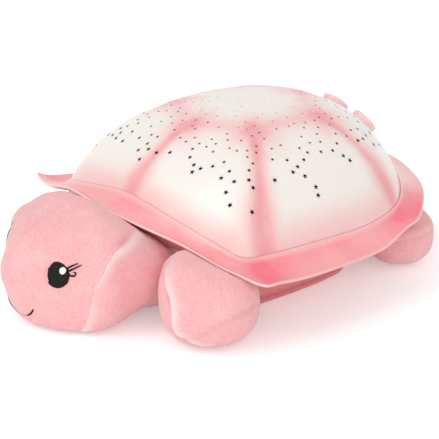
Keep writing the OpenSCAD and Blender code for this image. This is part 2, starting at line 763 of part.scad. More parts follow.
// ---- Head ----
// Sections from the neck to the nose: place along the head as a share of its length, and top,
// bottom and half width as shares of the head's height and half its width
neck_y = foot_at(0, sleeve_inset)[1] - soft_gap;
head_sections = [
  [0, 0.472, 0.225, 0.41], [0.128, 0.499, 0.15, 0.48], [0.214, 0.51, 0.086, 0.76], [0.262, 0.628, 0.043, 0.88],
  [0.32, 0.741, 0.011, 0.95], [0.414, 0.859, -0.021, 1], [0.52, 0.998, -0.043, 1], [0.642, 0.965, -0.054, 0.99],
  [0.781, 0.88, -0.032, 0.71], [0.871, 0.788, 0.086, 0.45], [0.93, 0.69, 0.236, 0.28],
  [0.972, 0.606, 0.386, 0.155], [0.991, 0.54, 0.472, 0.08]
];
fullness = 0.86;           // under 1, a stuffed section is squarer than an ellipse
function swell(x) = sign(x) * pow(abs(x), fullness);
function head_at(u, a) =
  let (k = open_at(head_sections, u), mid = (k[1] + k[2]) / 2 * head_h, half = (k[1] - k[2]) / 2 * head_h)
  [-k[3] * head_w / 2 * swell(sin(a)), neck_y - k[0] * head_l, mid + half * swell(cos(a))];
head_sides = 32;
function on_floor(p) = [p[0], p[1], max(0, p[2])];
module head() {
  steps = 2;
  color("pink")
    stacked([for (i = [0 : (len(head_sections) - 1) * steps])
      [for (j = [0 : head_sides - 1]) on_floor(head_at(i / steps, 360 * j / head_sides))]]);
}
function head_normal(u, a) =
  unit(cross(head_at(u, a - 1) - head_at(u, a + 1), head_at(u - nudge, a) - head_at(u + nudge, a)));

eye_site = [8.43, 76.5];   // section and angle from the top of the head
eye_d = 14;
module eye(side) {
  p = head_at(eye_site[0], -side * eye_site[1]);
  n = head_normal(eye_site[0], -side * eye_site[1]);
  color("black")
    seat_on(p + n * soft_gap, n) cylinder(h = 0.8, d = eye_d, $fn = 48);
}
mouth_d = 1.2;
mouth_site = [9.33, 52];   // section of its middle, and angle from there to its ends
mouth_rise = -0.05;        // how much further forward its ends are
module mouth_stitching() {
  steps = 16;
  color("black")
    wire([for (i = [-steps : steps])
      let (t = i / steps, u = mouth_site[0] + mouth_rise * t * t, a = 180 + mouth_site[1] * t)
      head_at(u, a) + head_normal(u, a) * (mouth_d / 2 + soft_gap)], mouth_d, 8);
}

// ---- Flippers and tail: stuffed pads with a flat patch on the table ----
// Shares p and q run along and across a pad: lean makes it lower towards +q, rise higher towards +p
pad_sides = 28;
pad_rows = 12;
pad_sink = 0.04;           // share of its height that a pad is pressed flat on the table
module pad(at, size, turn, lean, rise) {
  function point(a, b) =
    let (p = swell(cos(b)) * swell(cos(a)), q = swell(cos(b)) * swell(sin(a)), r = swell(sin(b)))
    [p * size[0] / 2, q * size[1] / 2,
     max(0, (r * (1 + pad_sink) + 1 - pad_sink) * size[2] / 2) * (1 - lean * q + rise * p)];
  translate([at[0], at[1], 0]) rotate(turn)
    stacked([for (j = [0 : pad_rows])
      [for (i = [0 : pad_sides - 1]) point(360 * i / pad_sides, mix(-84, 84, j / pad_rows))]]);
}
// A flipper's middle: its distance out and across from the sleeve's outline at the knot it is sewn near
function by_sleeve(u, turn, out, across) =
  let (p = foot_at(u, sleeve_inset))
  [p[0] + out * cos(turn) - across * sin(turn), p[1] + out * sin(turn) + across * cos(turn)];
front_flipper_w = 65;
front_flipper_h = 44;
front_flipper_turn = -38.5;
front_flipper_at = by_sleeve(3, front_flipper_turn, front_flipper_l / 2 - 4.95, -21.5);
rear_flipper_w = 60;
rear_flipper_h = 39;
rear_flipper_turn = 51.5;
rear_flipper_at = by_sleeve(7.65, rear_flipper_turn, rear_flipper_l / 2 + 0.3, 0);
module flipper(side, at, size, turn, lean, rise) {
  color("pink")
    if (side > 0) pad(at, size, turn, lean, rise);
    else mirror([1, 0, 0]) pad(at, size, turn, lean, rise);
}
module front_flipper(side) {
  flipper(side, front_flipper_at, [front_flipper_l, front_flipper_w, front_flipper_h],
    front_flipper_turn, 0.14, 0.1);
}
module rear_flipper(side) {
  flipper(side, rear_flipper_at, [rear_flipper_l, rear_flipper_w, rear_flipper_h],
    rear_flipper_turn, 0, 0);
}
tail_l = 44;
tail_w = 24;
tail_h = 22;
tail_sink = 2.2;           // the sleeve draws in this far, less the gap, where the tail meets it
module tail() {
  color("pink")
    pad([0, foot_at(rear_knot, sleeve_inset)[1] - tail_sink + tail_l / 2],
        [tail_w, tail_l, tail_h], 0, 0, 0);
}

shell_dome();
shell_brim();
shell_screws();
base_tray();
battery_box();
batteries();
battery_springs();
battery_plates();
battery_door();
battery_door_screws();
main_board();
board_screws();
control_chip();
resistors();
capacitor();
wire_sockets();
led_tower();
led_board();
lamp(90, "orange");  // led_amber
lamp(210, "limegreen");  // led_green
lamp(330, "dodgerblue");  // led_blue
button_frame();
frame_screws();
color("pink") button(button_sites[0]);  // button_amber
color("pink") button(button_sites[1]);  // button_green
color("pink") button(button_sites[2]);  // button_blue
color("pink") button(button_sites[3]);  // button_power
rubber_dome(button_sites[0]);  // rubber_dome_amber
rubber_dome(button_sites[1]);  // rubber_dome_green
rubber_dome(button_sites[2]);  // rubber_dome_blue
rubber_dome(button_sites[3]);  // rubber_dome_power
switch_board(button_sites[0]);  // switch_board_amber
switch_board(button_sites[1]);  // switch_board_green
switch_board(button_sites[2]);  // switch_board_blue
switch_board(button_sites[3]);  // switch_board_power
battery_lead(1, "firebrick");  // battery_lead_red
battery_lead(-1, "black");  // battery_lead_black
switch_harness();
switch_jumpers();
body_sleeve();
belly_panel();
belly_flap();
hook_tape();
loop_tape();
head();
front_flipper(1);  // front_flipper_left
front_flipper(-1);  // front_flipper_right
rear_flipper(1);  // rear_flipper_left
rear_flipper(-1);  // rear_flipper_right
tail();
eye(1);  // eye_left
eye(-1);  // eye_right
mouth_stitching();
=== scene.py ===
import bpy
import numpy as np
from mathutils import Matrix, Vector


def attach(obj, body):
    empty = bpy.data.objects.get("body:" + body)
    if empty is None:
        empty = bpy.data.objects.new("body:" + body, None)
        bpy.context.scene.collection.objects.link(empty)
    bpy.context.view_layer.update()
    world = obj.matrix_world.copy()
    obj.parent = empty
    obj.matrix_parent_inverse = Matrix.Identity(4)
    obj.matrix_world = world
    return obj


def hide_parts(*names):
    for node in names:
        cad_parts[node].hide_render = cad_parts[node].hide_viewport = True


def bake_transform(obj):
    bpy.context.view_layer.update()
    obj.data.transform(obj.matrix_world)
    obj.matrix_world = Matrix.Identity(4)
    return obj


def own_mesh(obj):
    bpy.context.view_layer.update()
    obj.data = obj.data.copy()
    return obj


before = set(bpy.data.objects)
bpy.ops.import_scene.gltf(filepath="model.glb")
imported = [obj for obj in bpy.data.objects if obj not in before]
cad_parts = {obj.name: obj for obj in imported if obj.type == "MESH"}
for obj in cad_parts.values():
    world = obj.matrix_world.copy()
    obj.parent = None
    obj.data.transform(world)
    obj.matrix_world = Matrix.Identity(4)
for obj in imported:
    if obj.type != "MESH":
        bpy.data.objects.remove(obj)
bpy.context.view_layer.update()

# ---- Camera and studio ----
# A long lens a little over a metre away, a white table top, and the even light of a white room
# with one broad lamp from the front left.
LENS_TURN, LENS_RISE, LENS_AWAY = np.radians(51.5), np.radians(20.2), 1.21
AIM = np.array([0.0222, -0.0220, 0.0453])
SENSOR, FOCAL_PIXELS, PICTURE_PIXELS = 36, 1861, 439
towards_lens = np.array([np.sin(LENS_TURN) * np.cos(LENS_RISE),
                         -np.cos(LENS_TURN) * np.cos(LENS_RISE), np.sin(LENS_RISE)])
camera = bpy.data.objects.new("camera", bpy.data.cameras.new("camera"))
bpy.context.scene.collection.objects.link(camera)
camera.data.sensor_width = SENSOR
camera.data.lens = SENSOR * FOCAL_PIXELS / PICTURE_PIXELS
camera.data.clip_end = 60
camera.location = AIM + towards_lens * LENS_AWAY
camera.rotation_euler = Vector(-towards_lens).to_track_quat("-Z", "Y").to_euler()
bpy.context.scene.camera = camera
bpy.context.scene.view_settings.view_transform = "Standard"


def add(tree, kind, inputs=(), **settings):
    """A shader node of a kind, with its settings, and its inputs as values or as links."""
    made = tree.nodes.new("ShaderNode" + kind)
    for key, value in settings.items():
        setattr(made, key, value)
    for key, value in dict(inputs).items():
        if isinstance(value, bpy.types.NodeSocket):
            tree.links.new(value, made.inputs[key])
        else:
            made.inputs[key].default_value = value
    return made


def rgb(red, green, blue):
    """A colour as a node takes it."""
    return (red, green, blue, 1.0)


def mixed(tree, share, low, high):
    """The colour between two others at a share."""
    return add(tree, "Mix", {0: share, 6: low, 7: high}, data_type="RGBA").outputs[2]


def spread(tree, value, low, high, start=0.0, end=1.0):
    """A value moved from the span low..high to start..end, and held there."""
    return add(tree, "MapRange", {"Value": value, "From Min": low, "From Max": high,
                                  "To Min": start, "To Max": end}).outputs["Result"]


def worked(tree, operation, first, second):
    """Two values put together by one operation of a Math node."""
    return add(tree, "Math", {0: first, 1: second}, operation=operation).outputs[0]


def noise(tree, scale, **more):
    """Object-space noise of a scale, around 0.5."""
    place = add(tree, "TexCoord").outputs["Object"]
    return add(tree, "TexNoise", {"Vector": place, "Scale": scale, **more}).outputs[0]


def white_ways(tree):
    """1 where a ray comes from the camera, a mirror or glass, and 0 where it lights the object."""
    path = add(tree, "LightPath").outputs
    either = worked(tree, "MAXIMUM", path["Is Camera Ray"], path["Is Glossy Ray"])
    return worked(tree, "MAXIMUM", either, path["Is Transmission Ray"])


room = bpy.data.worlds.new("white_room")
bpy.context.scene.world = room
room.use_nodes = True
room.node_tree.nodes.clear()
room_light = add(room.node_tree, "Background", {"Color": rgb(1.0, 0.985, 0.975),
                 "Strength": spread(room.node_tree, white_ways(room.node_tree), 0, 1, 0.71, 1.0)})
add(room.node_tree, "OutputWorld", {"Surface": room_light.outputs[0]})

for lamp_name, turn, rise, power, soft in (("key_lamp", -14, 50, 0.64, 34), ("fill_lamp", 52, 3, 1.25, 75)):
    lamp = bpy.data.objects.new(lamp_name, bpy.data.lights.new(lamp_name, "SUN"))
    lamp.data.energy, lamp.data.angle = power, np.radians(soft)
    lamp.data.color = (1.0, 0.985, 0.965)
    turn, rise = np.radians(turn), np.radians(rise)
    shine = Vector((np.sin(turn) * np.cos(rise), -np.cos(turn) * np.cos(rise), np.sin(rise)))
    lamp.rotation_euler = shine.to_track_quat("Z", "Y").to_euler()
    bpy.context.scene.collection.objects.link(lamp)

table = bpy.data.meshes.new("table_top")
table.from_pydata([(-15, -15, 0), (15, -15, 0), (15, 15, 0), (-15, 15, 0)], [], [(0, 1, 2, 3)])
table_top = bpy.data.objects.new("table_top", table)
bpy.context.scene.collection.objects.link(table_top)
table_white = bpy.data.materials.new("table_white")
table_white.use_nodes = True
nodes = table_white.node_tree
nodes.nodes.clear()
# The table is tinted blue-green and glows pinkish: where lit it comes out white, and in the object's shadow
# the pink glow is left as painted pink shadow. Its weaker glow onto the object is painted bounce light.
glow = spread(nodes, white_ways(nodes), 0, 1, 0.10, 0.32)
surface = add(nodes, "BsdfPrincipled", {
    "Base Color": rgb(0.89, 0.95, 0.955), "Roughness": 0.75, "Specular IOR Level": 0.2,
    "Emission Color": rgb(1, 0.90, 0.905), "Emission Strength": glow})
add(nodes, "OutputMaterial", {"Surface": surface.outputs[0]})
table.materials.append(table_white)


# ---- Shell ----
# The hard cover is moulded from milky translucent plastic 2.2 mm thick: a hexagonal middle scute
# and six side scutes stand a little proud of the ribs between them. The ribs and the foot are
# airbrushed pink, and small stars are cut through the wall for the lamps to shine out.
def coloured(group_name, *values):
    """A new node group with named inputs that gives a colour, a roughness and a height: its tree, its
    inputs and its outputs."""
    tree = bpy.data.node_groups.new(group_name, "ShaderNodeTree")
    for name, kind in values:
        tree.interface.new_socket(name, in_out="INPUT", socket_type="NodeSocket" + kind)
    for name, kind in (("Color", "Color"), ("Roughness", "Float"), ("Height", "Float")):
        tree.interface.new_socket(name, in_out="OUTPUT", socket_type="NodeSocket" + kind)
    return tree, tree.nodes.new("NodeGroupInput").outputs, tree.nodes.new("NodeGroupOutput").inputs


def finish_of(name, group, values, bump, shader):
    """A material: a group's colour, roughness and bump on a Principled shader. A value given as a
    word is read from that attribute, and bump is its strength and its distance in metres."""
    made = bpy.data.materials.new(name)
    made.use_nodes = True
    tree = made.node_tree
    tree.nodes.clear()
    look = tree.nodes.new("ShaderNodeGroup")
    look.node_tree = group
    for key, value in values.items():
        if isinstance(value, str):
            tree.links.new(add(tree, "Attribute", attribute_name=value).outputs["Fac"], look.inputs[key])
        else:
            look.inputs[key].default_value = value
    relief = add(tree, "Bump", {"Height": look.outputs["Height"], "Strength": bump[0], "Distance": bump[1]})
    surface = add(tree, "BsdfPrincipled", {"Base Color": look.outputs["Color"], "Normal": relief.outputs[0],
                                           "Roughness": look.outputs["Roughness"], **shader})
    add(tree, "OutputMaterial", {"Surface": surface.outputs[0]})
    return made


def make_piece(name, points, faces, finish, body="shell_and_body", smooth=True, marks=()):
    """A mesh piece from points in millimetres, riding on a body, with float attributes per point."""
    mesh = bpy.data.meshes.new(name)
    mesh.from_pydata((np.asarray(points, float) / 1000).tolist(), [], [list(map(int, f)) for f in faces])
    mesh.polygons.foreach_set("use_smooth", np.full(len(mesh.polygons), smooth))
    for key, values in dict(marks).items():
        mesh.attributes.new(key, "FLOAT", "POINT").data.foreach_set("value", np.asarray(values, np.float32))
    if finish is not None:
        mesh.materials.append(finish)
    made = bpy.data.objects.new(name, mesh)
    bpy.context.scene.collection.objects.link(made)
    if body:
        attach(made, body)
    return made


def points_of(mesh, field="co"):
    """All the points or normals of a mesh as one array."""
    out = np.zeros(len(mesh.vertices) * 3)
    mesh.vertices.foreach_get(field, out)
    return out.reshape(-1, 3)


def settled(piece):
    """Applies every modifier of a piece, and keeps its mesh."""
    shown = bpy.context.evaluated_depsgraph_get()
    mesh = bpy.data.meshes.new_from_object(piece.evaluated_get(shown), preserve_all_data_layers=True,
                                           depsgraph=shown)
    piece.modifiers.clear()
    old, piece.data = piece.data, mesh
    bpy.data.meshes.remove(old)
    return piece


def wall(rows, columns, first=0, round_columns=True, round_rows=False):
    """Quads between neighbours on a grid of points, closed round its columns or rows if asked."""
    r = np.arange(rows if round_rows else rows - 1)[:, None]
    c = np.arange(columns if round_columns else columns - 1)[None, :]
    r2, c2 = (r + 1) % rows, (c + 1) % columns
    corners = (r * columns + c, r * columns + c2, r2 * columns + c2, r2 * columns + c)
    quad = np.stack(np.broadcast_arrays(*corners), -1)
    return quad.reshape(-1, 4) + first


def capped(rings, low=True, high=True):
    """Rings of points stacked into a closed skin, with a fan to a middle point at each end."""
    rings = np.asarray(rings, float)
    count, around = rings.shape[:2]
    points = [rings.reshape(-1, 3)]
    faces = [list(f) for f in wall(count, around)]
    for ring, flip, wanted in ((0, True, low), (count - 1, False, high)):
        if wanted:
            middle = sum(len(p) for p in points)
            points.append(rings[ring].mean(0)[None])
            edge = ring * around + np.arange(around)
            after = np.roll(edge, -1)
            turns = zip(edge.tolist(), after.tolist())
            faces += [[middle, b, a] if flip else [middle, a, b] for a, b in turns]
    return np.concatenate(points), faces


def joined(skins):
    """Several skins as one: their points in a row, and their faces counted on from one another."""
    points, faces, first = [], [], 0
    for some, corners in skins:
        points.append(some)
        faces += [[first + v for v in f] for f in corners]
        first += len(some)
    return np.concatenate(points), faces


def unit(ways):
    """Ways made one long."""
    return ways / np.maximum(np.linalg.norm(ways, axis=-1, keepdims=True), 1e-9)


def cubic(a, b, c, d, t):
    """The cubic from b to c whose slopes there are half of c - a and half of d - b."""
    return 0.5 * (2 * b + (c - a) * t + (2 * a - 5 * b + 4 * c - d) * t ** 2
                  + (3 * b - a - 3 * c + d) * t ** 3)


def smooth_round(knots, u):
    """A closed Catmull-Rom curve: the cubic between each two neighbours of a ring of knots."""
    knots, u = np.asarray(knots, float), np.asarray(u, float)
    i = np.floor(u).astype(int)
    t = (u - i)[..., None]
    return cubic(*(knots[(i + k) % len(knots)] for k in (-1, 0, 1, 2)), t)


def smooth_open(knots, u):
    """The same cubic along an open row of knots, straight past its ends."""
    knots, u = np.asarray(knots, float), np.asarray(u, float)
    knots = np.concatenate([[2 * knots[0] - knots[1]], knots, [2 * knots[-1] - knots[-2]]])
    i = np.clip(np.floor(u).astype(int), 0, len(knots) - 4)
    return cubic(*(knots[i + k] for k in range(4)), (u - i)[..., None])


def both_sides(half):
    """An outline from front to rear over the left side, and back over the right side."""
    half = np.asarray(half, float)
    return np.concatenate([half, half[-2:0:-1] * [-1, 1, 1]])


SEAT, TOP, WALL = 46.0, 114.0, 2.2
PEAK = np.array([0.0, 24.0])
HALF_WIDTH, HALF_LENGTH, MIDDLE_Y = 100, 99, 21
foot_shares = np.array([
    [0, -1, 24], [0.46, -0.96, 17], [0.76, -0.90, 10], [0.92, -0.82, 4], [0.96, -0.67, 3],
    [1, -0.21, 4], [0.97, 0.21, 4], [0.84, 0.58, 8], [0.46, 0.90, 13], [0, 1, 15]])
foot_knots = both_sides(foot_shares * [HALF_WIDTH, HALF_LENGTH, 1] + [0, MIDDLE_Y, SEAT])
KNOTS = len(foot_knots)


def level(outline, z):
    """An outline's plan at a height."""
    return np.column_stack([outline[:, :2], np.zeros(len(outline)) + z])


def foot_at(u, inset=0.0):
    """The shell's foot at knot u: the outline, moved straight in towards the peak by the inset."""
    p = smooth_round(foot_knots, u)
    inwards = PEAK - p[..., :2]
    p[..., :2] += inwards * (np.asarray(inset, float) / np.linalg.norm(inwards, axis=-1))[..., None]
    return p


def dome_at(u, share, inset=0.0):
    """The shell's surface: in plan a share of the way from the peak to the foot, and as high as the
    top less its rise times one minus (1 - share to a power) to the power 0.85."""
    u, share = np.broadcast_arrays(np.asarray(u, float), np.asarray(share, float))
    foot = foot_at(u, inset)
    power = 2.6 + 0.7 * (1 - np.cos(2 * np.pi * u / KNOTS)) / 2
    lift = np.maximum(0, 1 - share ** power) ** 0.85
    return np.concatenate([PEAK + (foot[..., :2] - PEAK) * share[..., None],
                           (foot[..., 2] + (TOP - inset - foot[..., 2]) * lift)[..., None]], -1)


def dome_out(u, share):
    """The way straight out of the shell: across a small step round it and a small step up it."""
    step = 0.01
    return unit(np.cross(dome_at(u + step, share) - dome_at(u - step, share),
                         dome_at(u, share - step) - dome_at(u, share + step)))


# The foot's turn round the peak and its reach from there, close together along the whole outline.
foot_plan = smooth_round(foot_knots, np.linspace(0, KNOTS, 1441))[:, :2] - PEAK
foot_turn = np.unwrap(np.arctan2(foot_plan[:, 0], -foot_plan[:, 1]))
foot_reach = np.linalg.norm(foot_plan, axis=1)


def share_at(plan):
    """How far a plan point is from the peak, as a share of the way to the foot in its direction."""
    away = plan - PEAK
    turn = np.mod(np.arctan2(away[:, 0], -away[:, 1]), 2 * np.pi)
    return np.linalg.norm(away, axis=1) / np.interp(turn, foot_turn, foot_reach)


def from_line(plan, start, end):
    """Distance of each plan point from a straight stretch, and how far along it that is."""
    along = np.clip((plan - start) @ (end - start) / ((end - start) @ (end - start)), 0, 1)
    return np.linalg.norm(plan - start - along[:, None] * (end - start), axis=1), along


# The middle scute's corners, and where the rib from each one meets the foot, in plan.
scute_corners = np.array([[0, -30], [41, -9], [44, 42], [0, 64], [-44, 42], [-41, -9.0]])
rib_feet = np.array([[0, -78], [96, -45], [87, 70], [0, 120], [-87, 70], [-96, -45.0]])


def smoothed(x):
    """The S curve 3x^2 - 2x^3 between 0 and 1."""
    x = np.clip(x, 0, 1)
    return x * x * (3 - 2 * x)


def ribs_on(plan, share):
    """Paint and relief of the shell: each rib is a bell curve of the distance from its line, the
    paint wider than the hollow, with a pool of paint at each corner and a mist along the foot."""
    paint_and_light = 0.6 * smoothed((share - 0.87) / 0.13) ** 1.2
    hollow = np.zeros(len(plan))
    crease = np.zeros(len(plan))
    for k in range(6):
        side, along = from_line(plan, scute_corners[k], rib_feet[k])
        width = 8.5 + 6.0 * smoothed((along - 0.62) / 0.38) - 2.0 * np.exp(-((along - 0.45) / 0.25) ** 2)
        strength = 1 - 0.18 * np.exp(-((along - 0.55) / 0.22) ** 2)
        paint_and_light = np.maximum(paint_and_light, strength * np.exp(-(side / width) ** 2))
        hollow = np.maximum(hollow, np.exp(-(side / 5.0) ** 2))
        ends = smoothed(along * 5) * smoothed((1 - along) * 5)
        crease = np.maximum(crease, np.exp(-(side / 1.1) ** 2) * ends)
        edge, along = from_line(plan, scute_corners[k], scute_corners[(k + 1) % 6])
        near = 1 - 0.38 * np.sin(np.pi * along)
        paint_and_light = np.maximum(paint_and_light, near * np.exp(-(edge / (7.5 + 3.0 * near)) ** 2))
        hollow = np.maximum(hollow, 0.75 * np.exp(-(edge / 4.0) ** 2))
        pool = np.linalg.norm(plan - scute_corners[k], axis=1)
        paint_and_light = np.maximum(paint_and_light, 1.05 * np.exp(-(pool / 16.0) ** 2))
    return np.clip(paint_and_light, 0, 1), 1.1 * hollow + 0.3 * crease


shell_paint, paint_in, paint_out = coloured(
    "airbrushed_plastic", ("Plastic", "Color"), ("Paint", "Color"), ("Deep Paint", "Color"),
    ("Amount", "Float"), ("Gloss", "Float"))
mist = noise(shell_paint, 45.0, Detail=4.0, Roughness=0.6)
specks = noise(shell_paint, 900.0, Detail=2.0)
uneven = worked(shell_paint, "MULTIPLY", paint_in["Amount"], spread(shell_paint, mist, 0.3, 0.7, 0.86, 1.12))
sprayed = mixed(shell_paint, spread(shell_paint, uneven, 0.02, 0.75), paint_in["Plastic"], paint_in["Paint"])
sprayed = mixed(shell_paint, spread(shell_paint, uneven, 0.70, 1.05), sprayed, paint_in["Deep Paint"])
sprayed = mixed(shell_paint, spread(shell_paint, specks, 0.35, 0.8, 0.0, 0.10), sprayed, paint_in["Paint"])
rough = worked(shell_paint, "ADD", paint_in["Gloss"], spread(shell_paint, mist, 0.3, 0.7, -0.04, 0.06))
shell_paint.links.new(sprayed, paint_out["Color"])
shell_paint.links.new(rough, paint_out["Roughness"])
shell_paint.links.new(worked(shell_paint, "ADD", specks, spread(shell_paint, mist, 0.2, 0.8, 0, 0.6)),
                      paint_out["Height"])

milky_shell = finish_of("milky_shell", shell_paint, {
    "Plastic": rgb(0.885, 0.848, 0.80), "Paint": rgb(0.92, 0.52, 0.52), "Deep Paint": rgb(0.88, 0.32, 0.36),
    "Amount": "paint_and_light", "Gloss": 0.34}, (0.10, 0.0003),
    {"Coat Weight": 0.35, "Coat Roughness": 0.12, "IOR": 1.49, "Subsurface Weight": 0.12,
     "Subsurface Radius": (1.0, 0.6, 0.5), "Subsurface Scale": 0.004})

AROUND, ROWS, INNER_ROWS = 324, 112, 26
ring_u = np.arange(AROUND) * KNOTS / AROUND
outer_share = np.sin(np.linspace(np.pi / 2, 0.012, ROWS))
inner_share = np.sin(np.linspace(0.02, np.pi / 2, INNER_ROWS))
outer = dome_at(ring_u[None], outer_share[:, None])
flat = outer[..., :2].reshape(-1, 2)
paint_and_light, depth = ribs_on(flat, np.repeat(outer_share, AROUND))
depth *= np.repeat(smoothed((1 - outer_share) / 0.05), AROUND)
normal = dome_out(ring_u[None], np.minimum(outer_share, 0.985)[:, None]).reshape(-1, 3)
outer = (outer.reshape(-1, 3) - normal * depth[:, None]).reshape(ROWS, AROUND, 3)
skirt = foot_at(ring_u)
skirt_rings = [level(skirt, skirt[:, 2] + (SEAT - skirt[:, 2]) * t) for t in (1.0, 0.5)]
inner = dome_at(ring_u[None], inner_share[:, None], WALL)
inner_skirt = level(foot_at(ring_u, WALL), SEAT)
outer_points, outer_faces = capped(np.concatenate([np.array(skirt_rings), outer]), low=False)
inner_points, inner_faces = capped(np.concatenate([inner, inner_skirt[None]]), high=False)
low_outer = np.arange(AROUND)
low_inner = len(outer_points) + INNER_ROWS * AROUND + low_outer
rim = np.stack([low_outer, low_inner, np.roll(low_inner, -1), np.roll(low_outer, -1)], 1)
points, faces = joined([(outer_points, outer_faces), (inner_points, inner_faces)])
shell = make_piece("milky_star_shell", points, faces + rim.tolist(), milky_shell, body=None)

# Cutters: a five-pointed star at each place and a round hole for each button. The first stars are
# spread evenly by two irrational steps and then moved a little, and the rest are tried at random
# places and kept where they have room.
BUTTONS = ("amber", "green", "blue", "power")
HOLE_R = 9.9
EVEN_STARS, STARS_TRIED = 110, 600
EVEN_GAP, EXTRA_GAP = 3.4, 5.6
STAR_TOP, STAR_FOOT = 0.05, 0.88
# Buttons and bosses, as knots round the shell and shares down it.
button_sites = np.array([[8.38, 0.83], [9, 0.75], [9.62, 0.83], [9, 0.925]])
boss_sites = np.array([[7.7, 0.83], [9, 0.55], [10.3, 0.83]])
k = np.arange(STARS_TRIED)
chance = np.random.default_rng(5)
even_u = KNOTS * np.mod(0.7548776662 * k, 1) + chance.normal(0, 0.09, STARS_TRIED)
star_u = np.where(k < EVEN_STARS, even_u, chance.uniform(0, KNOTS, STARS_TRIED))
even_share = np.sqrt(STAR_TOP ** 2 + (STAR_FOOT ** 2 - STAR_TOP ** 2) * np.mod(0.5698402910 * k, 1)) \
    + chance.normal(0, 0.008, STARS_TRIED)
extra_share = np.sqrt(chance.uniform(0.26 ** 2, 0.79 ** 2, STARS_TRIED))
star_share = np.clip(np.where(k < EVEN_STARS, even_share, extra_share), STAR_TOP, STAR_FOOT)
star_point, star_out = dome_at(star_u, star_share), dome_out(star_u, star_share)
star_size = 0.85 + 0.45 * star_share + 0.85 * smoothed((star_share - 0.60) / 0.2)
apart = np.linalg.norm(star_point[:, None] - star_point[None], axis=-1)
kept = np.ones(len(k), bool)
for here in range(len(k)):
    room_needed = EVEN_GAP if here < EVEN_STARS else EXTRA_GAP
    kept[here] = not (apart[here, :here][kept[:here]] < room_needed).any()
button_points, button_outs = dome_at(*button_sites.T), dome_out(*button_sites.T)
boss_points, boss_outs = dome_at(*boss_sites.T), dome_out(*boss_sites.T)
to_button = np.linalg.norm(star_point[:, None] - button_points[None], axis=-1).min(1)
to_boss = np.linalg.norm(star_point[:, None] - boss_points[None], axis=-1).min(1)
kept &= (to_button > 13.5) & (to_boss > 6.5)


def prisms(points, outs, spins, profile, sizes, high, low):
    """Straight prisms of one outline, each standing on its point along its own outward way."""
    side = unit(np.cross(outs, [0.0, 0.0, 1.0]))
    up = np.cross(outs, side)
    ax = side * np.cos(spins)[:, None] + up * np.sin(spins)[:, None]
    ay = np.cross(outs, ax)
    flat = profile[None] * sizes[:, None, None]
    ring = points[:, None] + flat[..., :1] * ax[:, None] + flat[..., 1:] * ay[:, None]
    both = np.stack([ring + outs[:, None] * low, ring + outs[:, None] * high], 1)
    count, n = len(points), len(profile)
    faces = []
    for shift in (np.arange(count) * 2 * n).tolist():
        faces += [list(range(shift + n - 1, shift - 1, -1)), list(range(shift + n, shift + 2 * n))]
        faces += [[shift + a, shift + (a + 1) % n, shift + n + (a + 1) % n, shift + n + a] for a in range(n)]
    return both.reshape(-1, 3), faces


tip_turn = np.pi / 5 * np.arange(10)
tip_reach = np.where(np.arange(10) % 2, 0.42, 1.0)
star_outline = np.stack([np.cos(tip_turn), np.sin(tip_turn)], 1) * tip_reach[:, None]
cut_points, cut_faces = prisms(star_point[kept], star_out[kept], np.radians(137.0 * k[kept]), star_outline,
                               star_size[kept], 3.0, -5.0)
circle = 2 * np.pi * np.arange(96) / 96
holes = prisms(button_points, button_outs, np.zeros(4), np.stack([np.cos(circle), np.sin(circle)], 1),
               np.full(4, HOLE_R), 8.0, -8.0)
cutter = make_piece("cutter", *joined([(cut_points, cut_faces), holes]), None, body=None)
star_edge = finish_of("star_edge", shell_paint, {
    "Plastic": rgb(0.05, 0.04, 0.04), "Paint": rgb(0.06, 0.03, 0.03), "Deep Paint": rgb(0.06, 0.03, 0.03),
    "Amount": 0.0, "Gloss": 0.6}, (0.1, 0.0003), {"Specular IOR Level": 0.2})
shell.data.materials.append(star_edge)
for finish in shell.data.materials:
    cutter.data.materials.append(finish)
# The walls of the stars low on the shell are coloured near black as painted shade inside the holes, and those
# near its top stay milky.
dark_walled = np.zeros(len(cutter.data.polygons), int)
dark_walled[:len(cut_faces)] = np.repeat(star_share[kept] > 0.42, len(cut_faces) // kept.sum())
cutter.data.polygons.foreach_set("material_index", dark_walled)
cut = shell.modifiers.new("stars", "BOOLEAN")
cut.operation, cut.solver, cut.object = "DIFFERENCE", "MANIFOLD", cutter
settled(shell)
bpy.data.objects.remove(cutter)
place_mm = points_of(shell.data) * 1000
paint_and_light, _ = ribs_on(place_mm[:, :2], share_at(place_mm[:, :2]))
shell.data.attributes.new("paint_and_light", "FLOAT", "POINT").data.foreach_set("value", paint_and_light.astype(np.float32))
shell.data.polygons.foreach_set("use_smooth", np.ones(len(shell.data.polygons), bool))
shell.data.set_sharp_from_angle(angle=np.radians(40))
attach(shell, "shell_and_body")
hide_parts("shell_dome")


def lathe(profile, point, out, sides=48):
    """A profile of (radius, height) pairs turned round an axis that stands on a point. Pairs on the
    axis become one point."""
    profile, out = np.asarray(profile, float), np.asarray(out, float)
    side = unit(np.cross(out, [0.0, 1.0, 0.0] if abs(out[2]) > 0.9 else [0.0, 0.0, 1.0]))
    up = np.cross(out, side)
    turn = 2 * np.pi * np.arange(sides) / sides
    inside = profile[:, 0] > 1e-9
    ring = profile[inside][:, None]
    body = point + ring[..., :1] * (np.cos(turn)[None, :, None] * side + np.sin(turn)[None, :, None] * up) \
        + ring[..., 1:] * out
    points, faces = body.reshape(-1, 3), wall(inside.sum(), sides, round_rows=inside.all()).tolist()
    for end, edge in ((0, 0), (-1, inside.sum() - 1)):
        if not inside[end]:
            points = np.concatenate([points, [point + profile[end, 1] * out]])
            ids = edge * sides + np.arange(sides)
            after = np.roll(ids, -1)
            turns = (after, ids) if end == 0 else (ids, after)
            faces += np.stack([np.full(sides, len(points) - 1), *turns], 1).tolist()
    return points, faces


